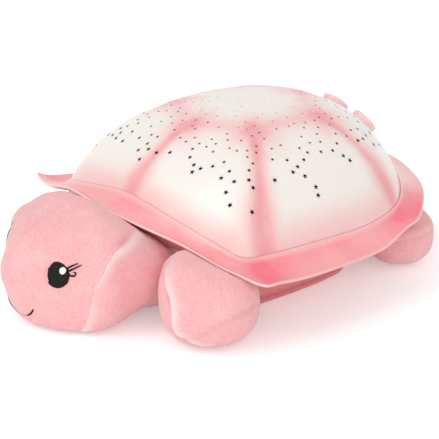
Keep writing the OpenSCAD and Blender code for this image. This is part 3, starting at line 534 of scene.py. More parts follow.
# Screw posts inside the skirt, and bosses for the button frame, moulded with the shell.
post_u = np.array([2.6, 5.2, 7.6, 10.4, 12.8, 15.4])
post_foot = foot_at(post_u, 5.8)
tubes = [lathe([[0, 56], [3.3, 56], [3.6, 55.7], [3.6, 44.4], [1.7, 44.4], [1.7, 54.3], [0, 54.3]],
               [x, y, 0], [0, 0, 1.0], 32) for x, y, _ in post_foot]
for site, out in zip(boss_points, boss_outs):
    tubes.append(lathe([[0, -2.4], [4.5, -2.4], [3.5, -8.2], [1.35, -8.2], [1.35, -3.6], [0, -3.6]],
                       site, out, 32))
posts = make_piece("shell_posts", *joined(tubes), milky_shell, smooth=False)

# ---- Brim ----
# A soft vinyl brim runs round the shell's foot, pink and glossy. It rolls over to a pale free edge,
# and its inner lip is trapped between the shell's skirt and the tray.
reach_half = np.array([
    [0, -0.44, 10], [0.28, -0.31, 8], [0.66, -0.25, 8], [0.93, -0.25, 6.5], [0.86, -0.16, 7.5],
    [0.60, 0.16, 10.5], [0.43, 0.37, 9], [0.20, 0.49, 7], [0.12, 0.60, 9], [0, 0.75, 9]])
rim_knots = foot_knots + both_sides(reach_half) * [32, 32, -1]
BRIM_T, COLLAR, LIP_IN = 1.8, 0.3, 1.7
LIP_LOW, LIP_HIGH = 44.4, 45.8
# Where the free edge is folded up or down: knot, half width in knots, and height.
RIM_FOLDS = ((14.9, 0.85, 6.0), (17.0, 0.6, 4.5), (6.15, 0.34, 2.4), (6.85, 0.30, -2.6),
             (11.9, 0.34, 1.6), (11.2, 0.30, -1.8))


def brim_at(u, t):
    """The brim's top: straight from foot to rim, less a sag of 2.5 mm at the middle, plus a small
    bead beside the shell, and along the free edge two sine waves and a bell curve for each fold."""
    a, b = foot_at(u, -COLLAR), smooth_round(rim_knots, u)
    t = np.asarray(t, float)[..., None]
    p = a + (b - a) * t
    ripple = 0.5 * np.sin(2 * np.pi * u / 3.1 + 0.6) + 0.35 * np.sin(2 * np.pi * u / 1.27 + 2.0)
    for at, width, height in RIM_FOLDS:
        ripple = ripple + height * np.exp(-((u - at) / width) ** 2)
    p[..., 2:] += -10 * t * (1 - t) + 0.45 * np.exp(-((t - 0.07) / 0.035) ** 2) + ripple[..., None] * t ** 2
    return p


def knots_from(u, knot):
    """How many knots a place is from another, the short way round."""
    return (u - knot + KNOTS / 2) % KNOTS - KNOTS / 2


TOP_ROWS, LOW_ROWS = 30, 14
top_t = np.linspace(0, 0.985, TOP_ROWS)
top = brim_at(ring_u[None], top_t[:, None])
low_t = np.linspace(0.985, 0.10, LOW_ROWS)
under = brim_at(ring_u[None], low_t[:, None]) - [0, 0, BRIM_T]
edge_out = unit((smooth_round(rim_knots, ring_u) - foot_at(ring_u)) * [1, 1, 0])
edge_mid = (top[-1] + under[0]) / 2
roll = np.radians([65, 35, 0, -35, -65])
rolled = edge_mid[None] + BRIM_T / 2 * (1.15 * np.cos(roll)[:, None, None] * edge_out[None]
                                       + np.sin(roll)[:, None, None] * np.array([0, 0, 1.0]))
collar = foot_at(ring_u, -COLLAR - BRIM_T)
lip = foot_at(ring_u, LIP_IN)
inner_collar = foot_at(ring_u, -COLLAR)
section = np.concatenate([
    top, rolled, under,
    [level(collar, collar[:, 2] - 1.5 * BRIM_T), level(collar, LIP_LOW), level(lip, LIP_LOW),
     level(lip, LIP_HIGH), level(inner_collar, LIP_HIGH)]])
# The paint grows over the brim's first fifth, is thinner at the back and thicker at four corners,
# and the free edge is coloured pale, palest at the front, as a painted highlight of its lit rolled edge.
amount = np.zeros((len(section), AROUND))
corner = sum(np.exp(-knots_from(ring_u, c) ** 2 / w)
             for c, w in ((3.6, 0.35), (14.4, 0.35), (6.95, 0.45), (11.05, 0.45)))
off = knots_from(ring_u, 0)
margin = 0.03 * smoothed((off + 2.9) / 0.6) * smoothed((2.9 - off) / 0.6)
stripe = 0.42 + 0.58 * smoothed((top_t[:, None] - margin) / 0.20)
behind = 1 - 0.50 * smoothed((2.2 - np.abs(ring_u - 9.2)) / 1.2)
lit_edge_paint = np.where(np.abs(off) < 3.2, 0.10, 0.45)
amount[:TOP_ROWS] = stripe * behind * (0.72 + 0.42 * np.clip(corner, 0, 1)[None])
pale = smoothed((top_t - 0.95) / 0.035)[:, None]
amount[:TOP_ROWS] = amount[:TOP_ROWS] * (1 - pale) + lit_edge_paint[None] * pale
amount[TOP_ROWS:TOP_ROWS + 5] = lit_edge_paint
amount[TOP_ROWS + 5:] = 0.75
vinyl = finish_of("pink_vinyl", shell_paint, {
    "Plastic": rgb(0.95, 0.66, 0.62), "Paint": rgb(0.95, 0.36, 0.385), "Deep Paint": rgb(0.96, 0.16, 0.22),
    "Amount": "paint_and_light", "Gloss": 0.36}, (0.08, 0.0003),
    {"Coat Weight": 0.5, "Coat Roughness": 0.26, "IOR": 1.5})
brim = make_piece("vinyl_brim", section.reshape(-1, 3),
                  wall(len(section), AROUND, round_rows=True)[:, ::-1], vinyl,
                  marks={"paint_and_light": amount.ravel()})
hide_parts("shell_brim")

# ---- Buttons ----
# Four round caps, each with a retaining lip under the shell and a stem that pushes a silicone dome.
# They are moulded in the shell's plastic, dyed pale pink through, with a softly rounded top edge.
button_pink = finish_of("button_pink", shell_paint, {
    "Plastic": rgb(0.94, 0.70, 0.68), "Paint": rgb(0.92, 0.60, 0.59), "Deep Paint": rgb(0.88, 0.48, 0.49),
    "Amount": "paint_and_light", "Gloss": 0.36}, (0.10, 0.0003), {"Coat Weight": 0.25, "Coat Roughness": 0.15})
STEM_END = 10.6
bend = np.radians(np.linspace(78, 0, 7))
cap_edge = np.column_stack([7.9 + 1.6 * np.cos(bend), 2.5 + 1.5 * np.sin(bend)])
cap_profile = np.concatenate([[[0, 4.2], [2.5, 4.2], [5.0, 4.16], [6.6, 4.1], [7.6, 4.05]], cap_edge,
                              [[9.5, 1.5], [9.5, -5.1], [11, -5.2], [11, -6.4], [3.1, -6.4], [3.0, -6.6],
                               [3.0, -STEM_END + 0.1], [2.8, -STEM_END], [0, -STEM_END]]])
for label, site, out in zip(BUTTONS, button_points, button_outs):
    points, faces = lathe(cap_profile, site, out, 64)
    # Each cap's colour is graded by height, paler on top and deeper pink down its sides: painted light of its
    # lit top.
    height = (points - site) @ out
    cap = make_piece("push_cap_" + label, points, faces, button_pink, "button_" + label,
                     marks={"paint_and_light": 0.35 + 0.5 * smoothed((4.4 - height) / 3)})
    cap.data.set_sharp_from_angle(angle=np.radians(50))
    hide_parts("button_" + label)

# ---- Tray, battery bay, lamp tower and button frame ----
# White injection-moulded parts with a fine spark-eroded grain, screwed together inside the plush.
# Under each cap a silicone dome stands on its switch board and flattens when the cap is pressed.
SWITCH_TOP = STEM_END + 0.2
grain, grain_in, grain_out = coloured(
    "moulded_grain", ("Colour", "Color"), ("Scuff", "Color"), ("Gloss", "Float"), ("Grain", "Float"))
pits = noise(grain, grain_in["Grain"], Detail=3.0)
cloud = noise(grain, 60.0, Detail=2.0)
scuffed = mixed(grain, spread(grain, cloud, 0.45, 0.75, 0.0, 0.55), grain_in["Colour"], grain_in["Scuff"])
rough = worked(grain, "ADD", grain_in["Gloss"], spread(grain, pits, 0.3, 0.7, -0.06, 0.08))
grain.links.new(scuffed, grain_out["Color"])
grain.links.new(rough, grain_out["Roughness"])
grain.links.new(pits, grain_out["Height"])


def moulded(name, colour, scuff, gloss=0.45, size=1400.0, **shader):
    """A moulded or drawn material with its own colour, scuffs, gloss and grain size."""
    return finish_of(name, grain, {"Colour": rgb(*colour), "Scuff": rgb(*scuff), "Gloss": gloss,
                                   "Grain": size},
                     (0.25, 0.0002), {key.replace("_", " "): value for key, value in shader.items()})


def dress(finish, *names):
    """Gives parts that stay as they were cut their finish."""
    for name in names:
        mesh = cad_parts[name].data
        mesh.materials.clear()
        mesh.materials.append(finish)


dress(moulded("tray_white", (0.83, 0.82, 0.80), (0.75, 0.74, 0.72)),
      "base_tray", "battery_box", "battery_door", "led_tower", "button_frame")
dress(moulded("zinc_steel", (0.60, 0.60, 0.59), (0.45, 0.45, 0.45), 0.32, 2600.0, Metallic=1.0),
      "shell_screws", "board_screws", "frame_screws", "battery_door_screws", "battery_springs",
      "battery_plates")
dress(moulded("cell_sleeve", (0.10, 0.22, 0.16), (0.16, 0.30, 0.22), 0.30), "batteries")
dress(moulded("circuit_green", (0.03, 0.20, 0.10), (0.05, 0.28, 0.13), 0.35, 800.0, Coat_Weight=0.4),
      "main_board", "led_board", "switch_board_amber", "switch_board_green", "switch_board_blue",
      "switch_board_power")
dress(moulded("chip_black", (0.025, 0.025, 0.028), (0.05, 0.05, 0.05), 0.5), "control_chip", "resistors")
dress(moulded("can_sleeve", (0.04, 0.05, 0.12), (0.07, 0.08, 0.16), 0.3), "capacitor")
dress(moulded("socket_cream", (0.80, 0.76, 0.66), (0.70, 0.66, 0.56), 0.4), "wire_sockets")
silicone_grey = moulded("silicone_grey", (0.55, 0.55, 0.54), (0.48, 0.48, 0.48), 0.6, Sheen_Weight=0.2)
dome_wall = np.array([
    [0, 0], [2.3, 0], [2.7, -0.15], [3.0, -0.5], [4.4, -2.2], [4.8, -2.5], [6, -2.6], [6, -3.6],
    [4.6, -3.6], [3.4, -2.2], [2, -0.8], [1.4, -1.4], [0, -1.4]]) - [0, SWITCH_TOP]
for label, site, out in zip(BUTTONS, button_points, button_outs):
    points, faces = lathe(dome_wall, site, out, 40)
    rubber = make_piece("silicone_dome_" + label, points, faces, silicone_grey)
    rubber.data.set_sharp_from_angle(angle=np.radians(50))
    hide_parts("rubber_dome_" + label)
    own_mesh(rubber)
for label, lens_colour, deep in (("amber", (0.95, 0.45, 0.05), (0.8, 0.3, 0.02)),
                                 ("green", (0.08, 0.75, 0.15), (0.04, 0.5, 0.08)),
                                 ("blue", (0.05, 0.25, 0.9), (0.03, 0.15, 0.6))):
    dress(moulded("lamp_lens_" + label, lens_colour, deep, 0.12, Transmission_Weight=0.5,
                  Coat_Weight=0.3), "led_" + label)
for label, names, colour in (("red", ("battery_lead_red",), (0.55, 0.03, 0.02)),
                             ("black", ("battery_lead_black",), (0.03, 0.03, 0.03)),
                             ("grey", ("switch_harness", "switch_jumpers"), (0.35, 0.35, 0.36))):
    dress(moulded("wire_" + label, colour, tuple(c * 0.8 for c in colour), 0.4, 500.0), *names)

# ---- Plush: how it is stuffed and sewn ----
# Every soft part is short-pile polyester plush, cut in panels, sewn inside out, turned and filled
# with fibre. The pile lies in soft light and dark patches and parts along the seams.
pile, pile_in, pile_out = coloured(
    "short_pile", ("Fabric", "Color"), ("Shade", "Color"), ("Light", "Color"), ("Seam", "Float"),
    ("Brushed Sheen", "Float"))
patches = noise(pile, 70.0, Detail=3.0, Roughness=0.55, Distortion=0.4)
tufts = noise(pile, 640.0, Detail=3.0, Roughness=0.65)
hairs = noise(pile, 2100.0, Detail=2.0, Roughness=0.6)
tone = pile_in["Fabric"]
# Random patches and tufts of lighter and darker pile; a lighter tone on the ridges beside seams, which is
# painted sheen; and a darker tone along seams, which at the head's neck is painted shade.
for value, low, high, most, colour in (
        (patches, 0.40, 0.72, 0.24, "Light"), (tufts, 0.52, 0.76, 0.45, "Shade"),
        (tufts, 0.48, 0.26, 0.42, "Light"), (pile_in["Brushed Sheen"], 0, 1, 0.90, "Light"),
        (pile_in["Seam"], 0, 1, 0.55, "Shade")):
    tone = mixed(pile, spread(pile, value, low, high, 0, most), tone, pile_in[colour])
pile.links.new(tone, pile_out["Color"])
pile.links.new(spread(pile, hairs, 0.3, 0.7, 0.78, 1.0), pile_out["Roughness"])
pile.links.new(worked(pile, "ADD", tufts, hairs), pile_out["Height"])


def plush(name, fabric, shade, light):
    """A plush finish with its own three tones, and a sheen along its edges."""
    return finish_of(name, pile, {"Fabric": rgb(*fabric), "Shade": rgb(*shade), "Light": rgb(*light),
                                  "Seam": "seam", "Brushed Sheen": "brushed_sheen"},
                     (0.55, 0.0006),
                     {"Specular IOR Level": 0.15, "Sheen Weight": 0.55, "Sheen Roughness": 0.45,
                      "Sheen Tint": rgb(1.0, 0.86, 0.85)})


pink_plush = plush("pink_plush", (0.95, 0.47, 0.49), (0.88, 0.29, 0.32), (0.97, 0.74, 0.74))
# The body's plush is a darker, redder copy of the head's plush: painted shade for the brim's shadow over the
# body.
body_plush_painted_shade = plush("body_plush_painted_shade", (0.86, 0.26, 0.27), (0.68, 0.12, 0.14), (0.90, 0.38, 0.37))


def pile_marks(seam, brushed_sheen=0.0):
    """What the pile's finish reads at each point: how near a seam is, with painted shade at the head's neck,
    and how much painted sheen lies beside a seam.
    """
    return {"seam": seam, "brushed_sheen": np.zeros(len(seam)) + brushed_sheen}


def wander(points, length, seed):
    """A smooth unevenness, mostly between -1 and 1: nine sine waves in fixed, scattered directions."""
    chance = np.random.default_rng(seed)
    ways = chance.normal(size=(9, 3))
    even = np.linalg.norm(ways, axis=1, keepdims=True)
    ways *= 2 * np.pi / length / even * chance.uniform(0.6, 1.5, (9, 1))
    return np.sin(points @ ways.T + chance.uniform(0, 2 * np.pi, 9)).sum(1) / 4.5


# A light, firmly stuffed fabric that hardly stretches.
FILL = {"quality": 6, "mass": 0.25, "use_pressure": True, "uniform_pressure_force": 4,
        "tension_stiffness": 12, "compression_stiffness": 6, "bending_stiffness": 0.3,
        "vertex_group_mass": "held"}


def stuffed(name, points, faces, cap, pinned, voxel=4.6, shrink=1.3, smooths=2):
    """A stuffed piece: a slightly smaller copy of the shape is evenly meshed, blown up as cloth with
    its pinned points held, moved by no more than the cap, and divided. Returns points, faces and
    the ways out."""
    piece = make_piece(name + "_pattern", points, faces, None, body=None)
    out = points_of(piece.data, "normal")
    piece.data.vertices.foreach_set("co", (points_of(piece.data) - out * shrink / 1000).ravel())
    even = piece.modifiers.new("even", "REMESH")
    even.mode, even.voxel_size, even.use_smooth_shade = "VOXEL", voxel / 1000, True
    settled(piece)
    start = points_of(piece.data)
    held = piece.vertex_groups.new(name="held")
    grip = pinned(start * 1000)
    for strength in (0.4, 1.0):
        held.add(np.flatnonzero(grip >= strength).tolist(), strength, "REPLACE")
    cloth = piece.modifiers.new("fill", "CLOTH")
    for key, value in FILL.items():
        setattr(cloth.settings, key, value)
    cloth.settings.effector_weights.gravity = 0
    cloth.point_cache.frame_start, cloth.point_cache.frame_end = 1, 20
    for moment in range(1, 21):
        bpy.context.scene.frame_set(moment)
    settled(piece)
    moved = points_of(piece.data) - start
    far = np.linalg.norm(moved, axis=1, keepdims=True)
    limit = cap(start * 1000)[:, None] / 1000
    held_back = start + moved * np.minimum(1, limit / np.maximum(far, 1e-9))
    piece.data.vertices.foreach_set("co", held_back.ravel())
    bpy.context.scene.frame_set(1)
    divide = piece.modifiers.new("divide", "SUBSURF")
    divide.levels = divide.render_levels = smooths
    settled(piece)
    mesh = piece.data
    corners = np.zeros(len(mesh.loops), int)
    mesh.loops.foreach_get("vertex_index", corners)
    result = points_of(mesh) * 1000, corners.reshape(-1, 4), points_of(mesh, "normal")
    bpy.data.objects.remove(piece)
    return result


def from_path(points, path):
    """Distance of each point from a bent line, the nearest place on it and the line's way there."""
    a, d = path[:-1], np.diff(path, axis=0)
    best = np.full(len(points), 1e9)
    foot, way = np.zeros_like(points), np.zeros_like(points)
    for start, step in zip(a, d):
        t = np.clip((points - start) @ step / (step @ step), 0, 1)
        q = start + t[:, None] * step
        gap = np.linalg.norm(points - q, axis=1)
        near = gap < best
        best[near], foot[near], way[near] = gap[near], q[near], step / np.linalg.norm(step)
    return best, foot, way


def seam_grip(points, seams):
    """How firmly points are held: fully within 2.6 mm of a seam, by 0.4 within 5 mm, and else free."""
    gap = np.full(len(points), 1e9)
    for line, _, _ in seams:
        gap = np.minimum(gap, from_path(points, line)[0])
    return np.where(gap < 2.6, 1.0, np.where(gap < 5, 0.4, 0.0))


def sewn(points, outs, path, depth, width, side, band=6.0):
    """Points drawn in along a seam by a bell curve of their distance from it, with a low ridge on one side
    that is coloured lighter as painted sheen. Returns the points, the seam's mark and the sheen mark."""
    gap, foot, way = from_path(points, path)
    across = np.einsum("ij,ij->i", points - foot, np.cross(outs, way)) * side
    valley = np.exp(-(gap / width) ** 2)
    ridge = np.exp(-((gap - band * 0.7) / (band * 0.6)) ** 2) * smoothed(across / 2)
    return points + outs * (0.6 * ridge - depth * valley)[:, None], valley, ridge


def drawn(points, outs, seams, width, full, sheen_from):
    """A stuffed piece sewn along its seams, each a line, a depth and a side for its ridge. A seam as deep as
    full gets the mark 1, and only the ridges of seams deeper than the given depth get painted sheen.
    Returns the points, the seams' marks and the sheen marks."""
    seam, brushed_sheen = np.zeros(len(points)), np.zeros(len(points))
    for line, deep, side in seams:
        points, valley, ridge = sewn(points, outs, line, deep, width, side)
        seam = np.maximum(seam, valley * deep / full)
        brushed_sheen = np.maximum(brushed_sheen, ridge * (deep > sheen_from))
    return points, seam, brushed_sheen


def laid(points, piece, height=0.0):
    """Points moved to the nearest place on a piece, and lifted off it by a height."""
    probe = bpy.data.meshes.new("probe")
    probe.from_pydata((np.asarray(points, float) / 1000).tolist(), [], [])
    holder = bpy.data.objects.new("probe", probe)
    bpy.context.scene.collection.objects.link(holder)
    wrap = holder.modifiers.new("wrap", "SHRINKWRAP")
    wrap.target, wrap.offset = piece, height / 1000
    wrap.wrap_method, wrap.wrap_mode = "NEAREST_SURFACEPOINT", "OUTSIDE_SURFACE"
    settled(holder)
    found = points_of(holder.data) * 1000
    bpy.data.objects.remove(holder)
    return found


def laid_out(points, piece, height=0.0, lift=1.0):
    """Points laid on a piece at a height, and the way straight out of it at each of them."""
    low = laid(points, piece, height)
    return low, unit(laid(points, piece, height + lift) - low)


def evenly(path, step):
    """Points at even steps along a bent line."""
    way = np.concatenate([[0], np.cumsum(np.linalg.norm(np.diff(path, axis=0), axis=1))])
    count = max(2, int(way[-1] / step))
    at = (np.arange(count) + 0.5) * way[-1] / count
    return np.stack([np.interp(at, way, path[:, i]) for i in range(3)], 1)


def thread_line(path, outs, radius, flatness=0.7, sides=10):
    """A closed tube along a path on a surface, its section an ellipse, its ends rounded shut."""
    radius = np.broadcast_to(radius, len(path))
    way = unit(np.gradient(path, axis=0))
    side = unit(np.cross(way, outs))
    up = np.cross(side, way)
    turn = 2 * np.pi * np.arange(sides) / sides
    rings = path[:, None] + radius[:, None, None] * (np.cos(turn)[None, :, None] * side[:, None]
                                                     + flatness * np.sin(turn)[None, :, None] * up[:, None])

    def rounded(at, sign):
        """Two smaller rings past an end."""
        return np.array([path[at] + sign * way[at] * radius[at] * far * 0.9 + (rings[at] - path[at]) * small
                         for far, small in ((0.45, 0.88), (0.8, 0.55))])

    return capped(np.concatenate([rounded(0, -1)[::-1], rings, rounded(-1, 1)]))


def stitched(name, lines, piece, finish, step=2.3, length=1.2, radius=0.32, height=0.0):
    """Single stitches along seams: short rounded threads laid on the piece."""
    threads = []
    for line in lines:
        middle = evenly(line, step)
        way = unit(np.gradient(middle, axis=0))
        for p, o, w in zip(*laid_out(middle, piece, height), way):
            t = np.linspace(-0.5, 0.5, 4)[:, None]
            bent = p + w * t * length - o * 0.12 * (2 * t) ** 2
            threads.append(thread_line(bent, np.tile(o, (4, 1)), radius, 0.8, 5))
    return make_piece(name, *joined(threads), finish)


sewing_thread = moulded("sewing_thread", (0.80, 0.36, 0.37), (0.70, 0.26, 0.28), 0.8, 3000.0,
                        Sheen_Weight=0.3)
satin, satin_in, satin_out = coloured(
    "satin_stitch", ("Thread", "Color"), ("Sheen", "Color"), ("Pitch", "Float"))
rows_of_thread = add(satin, "TexWave", {
    "Vector": add(satin, "TexCoord").outputs["Object"], "Scale": satin_in["Pitch"], "Distortion": 1.2,
    "Detail": 1.0, "Detail Scale": 3.0}, bands_direction="Z").outputs["Fac"]
satin.links.new(mixed(satin, spread(satin, rows_of_thread, 0.5, 1.0, 0, 0.5),
                      satin_in["Thread"], satin_in["Sheen"]), satin_out["Color"])
satin.links.new(spread(satin, rows_of_thread, 0, 1, 0.62, 0.42), satin_out["Roughness"])
satin.links.new(rows_of_thread, satin_out["Height"])
embroidery_black = finish_of("embroidery_black", satin, {
    "Thread": rgb(0.008, 0.006, 0.006), "Sheen": rgb(0.03, 0.022, 0.02), "Pitch": 420.0},
    (0.5, 0.0003), {"Specular IOR Level": 0.15})
embroidery_white = finish_of("embroidery_white", satin, {
    "Thread": rgb(0.90, 0.89, 0.89), "Sheen": rgb(0.97, 0.97, 0.97), "Pitch": 420.0},
    (0.4, 0.0003), {"Specular IOR Level": 0.35})

# ---- Body sleeve ----
# A stuffed ring of plush round the tub, gathered at its top under the tray's flange and at its
# bottom round the belly panel.
SLEEVE_LOW, SLEEVE_TOP, SLEEVE_IN, SLEEVE_BACK = 5.3, 41.4, 24, 35.6
SLEEVE_AROUND = 252
lift = np.linspace(0, 1, 30)
drawn_in = np.interp(lift, [0, 0.08, 0.2, 0.4, 0.7, 0.9, 1], [11.2, 9, 5.5, 1.0, 0.5, 3, 6])
drawn_in = np.convolve(np.pad(drawn_in, 3, mode="edge"), np.ones(5) / 5, "same")[3:-3]
sleeve_u = np.arange(SLEEVE_AROUND) * KNOTS / SLEEVE_AROUND
# Sixty-one pleats, bunched closer and looser by a slow wave.
sleeve_turn = 2 * np.pi * sleeve_u / KNOTS
pleats = 0.5 + 0.5 * np.sin(61 * sleeve_turn + 1.2 * np.sin(5 * sleeve_turn))


def sleeve_ring(inset, share):
    """The shell's outline moved in, at a share of the sleeve's height."""
    return level(foot_at(sleeve_u, inset), SLEEVE_LOW + (SLEEVE_TOP - SLEEVE_LOW) * share)


rings = []
for share, inward in zip(lift, drawn_in):
    gather = 0.9 * pleats * (np.exp(-(share / 0.16) ** 2) + np.exp(-((1 - share) / 0.16) ** 2)) + 0.3
    rings.append(sleeve_ring(SLEEVE_IN + inward + gather, share))
for share in (1.0, 0.94, 0.5, 0.06, 0.0):
    rings.append(sleeve_ring(SLEEVE_BACK - 0.9 * (2 * share - 1) ** 12, share))
seam_row = np.zeros(len(rings))
seam_row[:len(lift)] = 0.5 * np.exp(-(lift / 0.05) ** 2)
sleeve = make_piece("plush_body", np.array(rings).reshape(-1, 3),
                    wall(len(rings), SLEEVE_AROUND, round_rows=True), body_plush_painted_shade,
                    marks=pile_marks(np.repeat(seam_row, SLEEVE_AROUND)))
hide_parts("body_sleeve")

# ---- Belly panel, flap and tapes ----
# A quilted plush floor with a window for the battery door. A padded flap, sewn along one edge,
# closes the window and is held by a strip of hook tape on a strip of loop tape.
FLAP_X, FLAP_Y = (-26.75, 35.95), (-30.25, 46.25)
WINDOW_X, WINDOW_Y = (-27.05, 36.25), (-30.55, 46.55)
middle = np.array([sum(WINDOW_X) / 2, sum(WINDOW_Y) / 2])
half = np.array([WINDOW_X[1] - WINDOW_X[0], WINDOW_Y[1] - WINDOW_Y[0]]) / 2
# From the sleeve's inside to the window, a superellipse of power 16, with a puffed section between.
outline = foot_at(sleeve_u, SLEEVE_BACK + 0.4)[:, :2]
turn = np.arctan2(*(outline - middle).T[::-1])
reach = ((np.abs(np.cos(turn)) / half[0]) ** 16 + (np.abs(np.sin(turn)) / half[1]) ** 16) ** (-1 / 16)
window = middle + reach[:, None] * np.stack([np.cos(turn), np.sin(turn)], 1)
across = np.concatenate([np.linspace(0, 0.06, 5), np.linspace(0.1, 0.9, 12), np.linspace(0.94, 1, 5)])
puff = (1 - np.abs(2 * across - 1) ** 14) ** 0.5
plan = outline[None] + across[:, None, None] * (window - outline)[None]
quilt = 0.5 * np.exp(-((across - 0.12) / 0.03) ** 2) + 0.5 * np.exp(-((across - 0.88) / 0.03) ** 2)
under_z = 0.05 + 2.1 * (1 - puff) + quilt
over_z = 4.65 - 1.6 * (1 - puff)


def panel_face(heights):
    """The panel's plan with each of its rings at its own height."""
    return np.concatenate([plan, np.broadcast_to(heights[:, None, None], plan.shape[:2] + (1,))], -1)


rings = np.concatenate([panel_face(over_z), panel_face(under_z)[::-1][1:-1]])
seam_row = np.concatenate([quilt * 0, quilt[::-1][1:-1] * 1.6])
belly = make_piece("plush_belly", rings.reshape(-1, 3),
                   wall(len(rings), SLEEVE_AROUND, round_rows=True)[:, ::-1], body_plush_painted_shade,
                   marks=pile_marks(np.repeat(seam_row, SLEEVE_AROUND)))
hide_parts("belly_panel")


def cushion_slab(x, y, z, rows=(48, 60), edge=1.1, top=None, low=None):
    """A flat slab with rounded edges: both faces are a grid, drawn together along a quarter circle
    within an edge's width of the rim, and raised by the reliefs top and low."""
    s, t = np.linspace(-1, 1, rows[0]), np.linspace(-1, 1, rows[1])
    s, t = np.sign(s) * (1 - (1 - np.abs(s)) ** 1.4), np.sign(t) * (1 - (1 - np.abs(t)) ** 1.4)
    u, v = np.meshgrid(s, t, indexing="ij")
    gx = (x[0] + x[1]) / 2 + u * (x[1] - x[0]) / 2
    gy = (y[0] + y[1]) / 2 + v * (y[1] - y[0]) / 2
    near = np.minimum.reduce([gx - x[0], x[1] - gx, gy - y[0], y[1] - gy])
    round_off = 1 - np.sqrt(np.clip(1 - (1 - np.clip(near / edge, 0, 1)) ** 2, 0, 1))
    mid = (z[0] + z[1]) / 2
    high_z = mid + (z[1] - mid) * (1 - round_off) + (top(gx, gy) * (1 - round_off) if top else 0)
    low_z = mid - (mid - z[0]) * (1 - round_off) + (low(gx, gy) * (1 - round_off) if low else 0)
    a, b = rows
    grid = np.arange(a * b).reshape(a, b)
    lower = grid + a * b
    points = np.concatenate([np.stack([gx, gy, high_z], -1).reshape(-1, 3),
                             np.stack([gx, gy, low_z], -1).reshape(-1, 3)])
    rim_ids = np.concatenate([grid[0, :-1], grid[:-1, -1], grid[-1, :0:-1], grid[:0:-1, 0]])
    same = np.arange(len(points))
    same[lower.ravel()[np.isin(grid.ravel(), rim_ids)]] = grid.ravel()[np.isin(grid.ravel(), rim_ids)]
    faces = np.concatenate([wall(a, b, round_columns=False), wall(a, b, a * b, round_columns=False)[:, ::-1]])
    used, faces = np.unique(same[faces], return_inverse=True)
    return points[used], faces.reshape(-1, 4)


def flap_seam(gx, gy):
    """How near a point of the flap is to its line of edge stitching, 4 mm in."""
    near = np.minimum.reduce([gx - FLAP_X[0], FLAP_X[1] - gx, gy - FLAP_Y[0], FLAP_Y[1] - gy])
    return np.exp(-((near - 4.0) / 0.9) ** 2)


points, faces = cushion_slab(FLAP_X, FLAP_Y, (0.05, 2.35), (64, 76),
                             low=lambda gx, gy: 0.45 * flap_seam(gx, gy),
                             top=lambda gx, gy: -0.35 * flap_seam(gx, gy))
flap = make_piece("plush_flap", points, faces[:, ::-1], body_plush_painted_shade, "belly_flap",
                  marks=pile_marks(flap_seam(points[:, 0], points[:, 1])))
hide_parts("belly_flap")
points, faces = cushion_slab((24.2, 36.9), (-30.9, 46.9), (3.85, 4.6), (10, 60), edge=0.35)
ledge = make_piece("plush_ledge", points, faces[:, ::-1], body_plush_painted_shade,
                   marks=pile_marks(np.zeros(len(points))))
points, faces = cushion_slab((-28.4, -25.6), (-29.5, 45.5), (0.1, 0.55), (12, 50), edge=0.2)
hinge_cloth = make_piece("flap_hinge_cloth", points, faces[:, ::-1], body_plush_painted_shade, body=None,
                         marks=pile_marks(np.full(len(points), 0.6)))
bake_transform(hinge_cloth)
tape_white = moulded("tape_white", (0.80, 0.78, 0.77), (0.70, 0.68, 0.67), 0.75, 1800.0, Sheen_Weight=0.3)


def hooks(gx, gy):
    """Rows of low hooks: the product of two sine waves 1.1 mm long."""
    return 0.10 * np.sin(2 * np.pi * gx / 1.1) * np.sin(2 * np.pi * gy / 1.1)


def loops(gx, gy):
    """An uneven mat of loops about 1.6 mm apart."""
    return 0.10 * wander(np.stack([gx, gy, gx * 0], -1).reshape(-1, 3), 1.6, 4).reshape(gx.shape)


for label, body, z, top, low in (("hook", "belly_flap", (2.42, 2.95), hooks, None),
                                 ("loop", "shell_and_body", (3.25, 3.8), None, loops)):
    points, faces = cushion_slab((25.45, 34.45), (-24.25, 40.25), z, (44, 150), edge=0.25,
                                 top=top, low=low)
    tape = make_piece(label + "_strip", points, faces[:, ::-1], tape_white, body)
    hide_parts(label + "_tape")

# ---- Head ----
# Two side panels and a middle gusset of plush, stuffed firmly, sewn to the front of the body. The
# seams run over the top and down each cheek.
NECK_Y, HEAD_L, HEAD_W, HEAD_H = -54.3, 122.5, 108.0, 78.8
# Each section's place along the head, its top and bottom, and its width, all as shares.
head_rows = np.array([
    [0, 0.52, 0.20, 0.76], [0.128, 0.56, 0.08, 0.93], [0.214, 0.645, 0.04, 0.98],
    [0.262, 0.695, 0.01, 1.0], [0.32, 0.78, 0, 1.01], [0.414, 0.895, -0.05, 1.02],
    [0.52, 0.99, -0.12, 1.02], [0.642, 0.93, -0.145, 1.01], [0.781, 0.85, -0.115, 0.69],
    [0.871, 0.762, 0.045, 0.40], [0.93, 0.67, 0.215, 0.24], [0.972, 0.585, 0.386, 0.13],
    [0.991, 0.52, 0.472, 0.07]])


def swell(x, fullness=0.86):
    """A sine or cosine raised to a power under 1, which squares a stuffed section a little."""
    return np.sign(x) * np.abs(x) ** fullness


def head_at(u, a):
    """The head's surface at section u and angle a from the top, in degrees, less than 0 on the left.
    Its back is squarer than its front."""
    k, a = smooth_open(head_rows, u), np.radians(a)
    middle, half = (k[..., 1] + k[..., 2]) / 2 * HEAD_H, (k[..., 1] - k[..., 2]) / 2 * HEAD_H
    fullness = 0.58 + 0.28 * smoothed((k[..., 0] - 0.22) / 0.12)
    x = -k[..., 3] * HEAD_W / 2 * swell(np.sin(a), fullness)
    z = np.maximum(0, middle + half * swell(np.cos(a), fullness))
    return np.stack(np.broadcast_arrays(x, NECK_Y - k[..., 0] * HEAD_L, z), -1)


